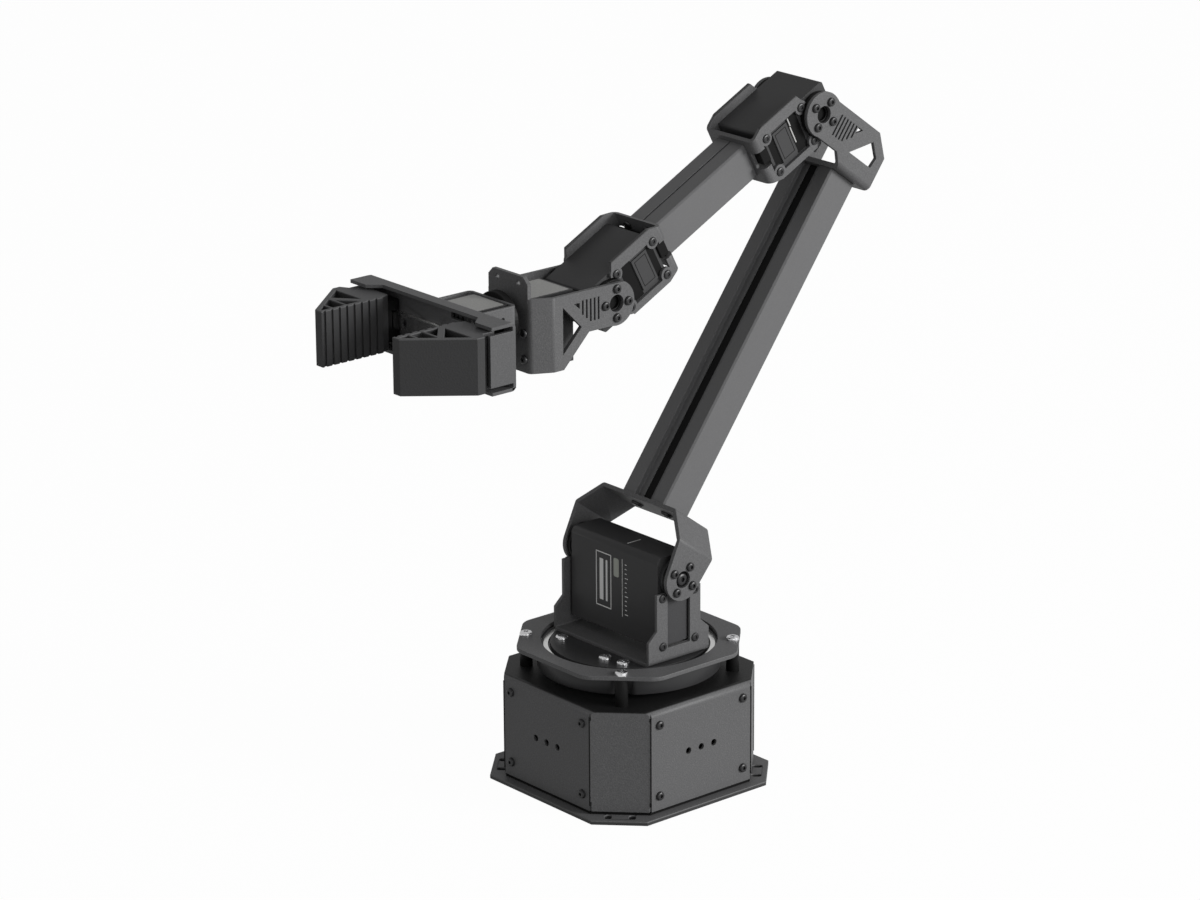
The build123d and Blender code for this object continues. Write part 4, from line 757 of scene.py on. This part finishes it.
# %% Turned roll horn
horn_low, horn_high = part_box("roll_horn")
horn_z = (horn_low.z + horn_high.z) / 2
profile = [
    (46.4, 3.2), (46.4, 6.0), (50.0, 6.0), (50.0, 12.1),
    (50.3, 12.4), (53.7, 12.4), (54.0, 12.1), (54.0, 0),
]
horn_bm = bmesh.new()
points = [horn_bm.verts.new((wrist.x + x * mm, 0, horn_z + out * mm)) for x, out in profile]
edges = [horn_bm.edges.new(pair) for pair in zip(points, points[1:])]
bmesh.ops.spin(
    horn_bm, geom=points + edges, cent=(0, 0, horn_z), axis=(1, 0, 0),
    angle=2 * math.pi, steps=48, use_merge=True,
)
pole_distance = 0.001 * mm
bmesh.ops.remove_doubles(horn_bm, verts=horn_bm.verts[:], dist=pole_distance)
add_piece(
    "roll_horn_turned", horn_bm, "gripper", finishes["horn_metal"], ("roll_horn",)
)

# %% [markdown]
# ## Dark lines of the upper tube and the base
# Black strips in the tube's grooves are painted shade in their core. The housing's folds meet in fine
# dark seams. A black strip in the gap between the housing and the base plate is painted shade.
# The elbow lies beside the line of the tube, so the tube's lean comes from that offset and from the
# distance between the two joints.

# %% Painted shade in the grooves
elbow_offset = 35.5 * mm
span = elbow - shoulder
tube_lean = math.atan2(span.z, span.x) + math.asin(elbow_offset / span.length)
tube_dir = Vector((math.cos(tube_lean), 0, math.sin(tube_lean)))
place = link_place(shoulder, tube_dir)
groove_middle, groove_length = 114.0, 173.0
core_width, core_height = 4.7, 2.4
# Black strips in the groove cores: painted shade.
strips = bmesh.new()
for across in (-6.6, 2.6):
    block(strips, (groove_middle, 0, across), (groove_length, core_width, core_height), 0, place)
add_piece("upper_tube_groove_painted_shade", strips, "upper_arm", black_and_painted_shade)

# %% Seams of the housing, and painted shade in its gap
half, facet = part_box("base_housing")[1].x / mm, 19.6
inward = 0.9985
seam_middle, seam_width, seam_height = 27.8, 0.5, 43.0
seams = bmesh.new()
for sx in (1, -1):
    for sy in (1, -1):
        for x, y in ((half, half - facet), (half - facet, half)):
            corner = (sx * x * inward, sy * y * inward, seam_middle)
            block(seams, corner, (seam_width, seam_width, seam_height))
add_piece("housing_seams", seams, "base", black_and_painted_shade)

# A black strip in the gap between the housing and the base plate: painted shade.
strip_inset, strip_thickness, strip_height, strip_z = 0.9, 0.6, 1.4, 2.85
flat_side = (half - strip_inset, 2 * (half - facet), 0)
corner_side = (math.sqrt(2) * (half - facet / 2) - strip_inset, facet * math.sqrt(2), 45)
gap_shade_bm = bmesh.new()
for quarter in range(4):
    for out, length, offset in (flat_side, corner_side):
        degrees = 90 * quarter + offset
        angle = math.radians(degrees)
        middle = (out * math.cos(angle), out * math.sin(angle), strip_z)
        block(gap_shade_bm, middle, (strip_thickness, length, strip_height), turn=degrees)
add_piece("housing_gap_painted_shade", gap_shade_bm, "base", black_and_painted_shade)

# %% [markdown]
# ## Studio
# The photograph's background is plain white with hardly a shadow. The floor is a matt surface that
# the camera sees mostly as its own white, so the contact shadow stays but is faint. Under the base
# plate it is left matt, so that the plate's slots look dark. The world is white for the camera,
# half as bright for what is mirrored, and darker still as plain light on the arm.

# %% Floor
plate_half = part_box("base_plate")[1].y
ambient = 0.23
seen_in_gloss = 0.5
seen_by_camera = 0.94
floor_white = 1.04
inside_edge, corner_reach = 0.5 * mm, 35.5 * mm
bpy.ops.mesh.primitive_plane_add(size=8, location=(0, 0, 0))
floor = bpy.context.object
floor.name = "floor"
floor_material = bpy.data.materials.new("studio_floor")
floor_material.use_nodes = True
tree = floor_material.node_tree
tree.nodes.clear()
matt = tree.nodes.new("ShaderNodeBsdfDiffuse")
matt.inputs["Color"].default_value = (0.3, 0.3, 0.3, 1)
white = tree.nodes.new("ShaderNodeEmission")
white.inputs["Strength"].default_value = floor_white
light_path = tree.nodes.new("ShaderNodeLightPath")
blend = tree.nodes.new("ShaderNodeMixShader")
output = tree.nodes.new("ShaderNodeOutputMaterial")
mirrored = math_node(tree, "MULTIPLY", light_path.outputs["Is Glossy Ray"], seen_in_gloss)
white_for_all = math_node(
    tree, "MULTIPLY_ADD", light_path.outputs["Is Camera Ray"], seen_by_camera, mirrored
)
spot = tree.nodes.new("ShaderNodeSeparateXYZ")
wire(tree, (tree.nodes.new("ShaderNodeTexCoord").outputs["Object"], spot.inputs["Vector"]))
out_x, out_y = (math_node(tree, "ABSOLUTE", spot.outputs[axis]) for axis in ("X", "Y"))
furthest = math_node(tree, "MAXIMUM", out_x, out_y)
beside_plate = math_node(tree, "GREATER_THAN", furthest, plate_half - inside_edge)
out_both = math_node(tree, "ADD", out_x, out_y)
past_corner = math_node(tree, "GREATER_THAN", out_both, plate_half + corner_reach)
open_floor = math_node(tree, "MAXIMUM", beside_plate, past_corner)
seen_white = math_node(tree, "MULTIPLY", white_for_all, open_floor)
wire(
    tree,
    (seen_white, blend.inputs["Fac"]),
    (matt.outputs[0], blend.inputs[1]),
    (white.outputs[0], blend.inputs[2]),
    (blend.outputs[0], output.inputs["Surface"]),
)
floor.data.materials.append(floor_material)
print("floor", floor_material.name)

# %% World
world = bpy.data.worlds.new("studio")
bpy.context.scene.world = world
world.use_nodes = True
tree = world.node_tree
background = tree.nodes["Background"]
background.inputs["Color"].default_value = (1, 1, 1, 1)
light_path = tree.nodes.new("ShaderNodeLightPath")
camera_share = math_node(tree, "MULTIPLY", light_path.outputs["Is Camera Ray"], 1 - ambient)
gloss_share = math_node(
    tree, "MULTIPLY_ADD", light_path.outputs["Is Glossy Ray"], seen_in_gloss - ambient, camera_share
)
wire(tree, (math_node(tree, "ADD", gloss_share, ambient), background.inputs["Strength"]))
print("world", world.name, "ambient", ambient)

# %% [markdown]
# ## Light and camera
# The key light is a panel beside and behind the arm, which lights the flank with the horns and
# the upper faces. A weaker panel stands square to that flank, and the weakest one, in front, lifts
# the faces that look forward. The camera stands where the photograph was taken from: a long lens,
# a little above the arm.

# %% Lamps
def panel_lamp(name, place, target, size, watts):
    """A square area lamp that points at a target."""
    lamp = bpy.data.lights.new(name, "AREA")
    lamp.size = size
    lamp.energy = watts
    holder = bpy.data.objects.new(name, lamp)
    holder.location = place
    holder.rotation_euler = (Vector(target) - Vector(place)).to_track_quat("-Z", "Y").to_euler()
    bpy.context.scene.collection.objects.link(holder)


arm_middle = (0, 0, 0.16)
panel_lamp("side_panel", (0.35, 2.3, 0.9), arm_middle, 1.2, 12)
panel_lamp("rear_panel", (-1.2, 2.0, 0.9), arm_middle, 0.9, 52)
panel_lamp("front_panel", (2.3, 0.5, 1.0), arm_middle, 1.4, 5)
print("lamps", [(lamp.name, round(lamp.energy, 1)) for lamp in bpy.data.lights])

# %% Camera
camera_data = bpy.data.cameras.new("camera")
camera_data.lens = 135
camera_data.sensor_width = 36
camera_data.clip_end = 20
camera = bpy.data.objects.new("camera", camera_data)
camera_place = (1.26327, 1.46868, 0.80347)
azimuth, elevation, roll = (math.radians(a) for a in (139.68, 18.44, -0.37))
camera.matrix_world = (
    Matrix.Translation(camera_place)
    @ Matrix.Rotation(azimuth, 4, "Z")
    @ Matrix.Rotation(math.pi / 2 - elevation, 4, "X")
    @ Matrix.Rotation(roll, 4, "Z")
)
bpy.context.scene.collection.objects.link(camera)
bpy.context.scene.camera = camera
bpy.context.scene.view_settings.view_transform = "Standard"
print("camera", camera_place, "lens", camera_data.lens)
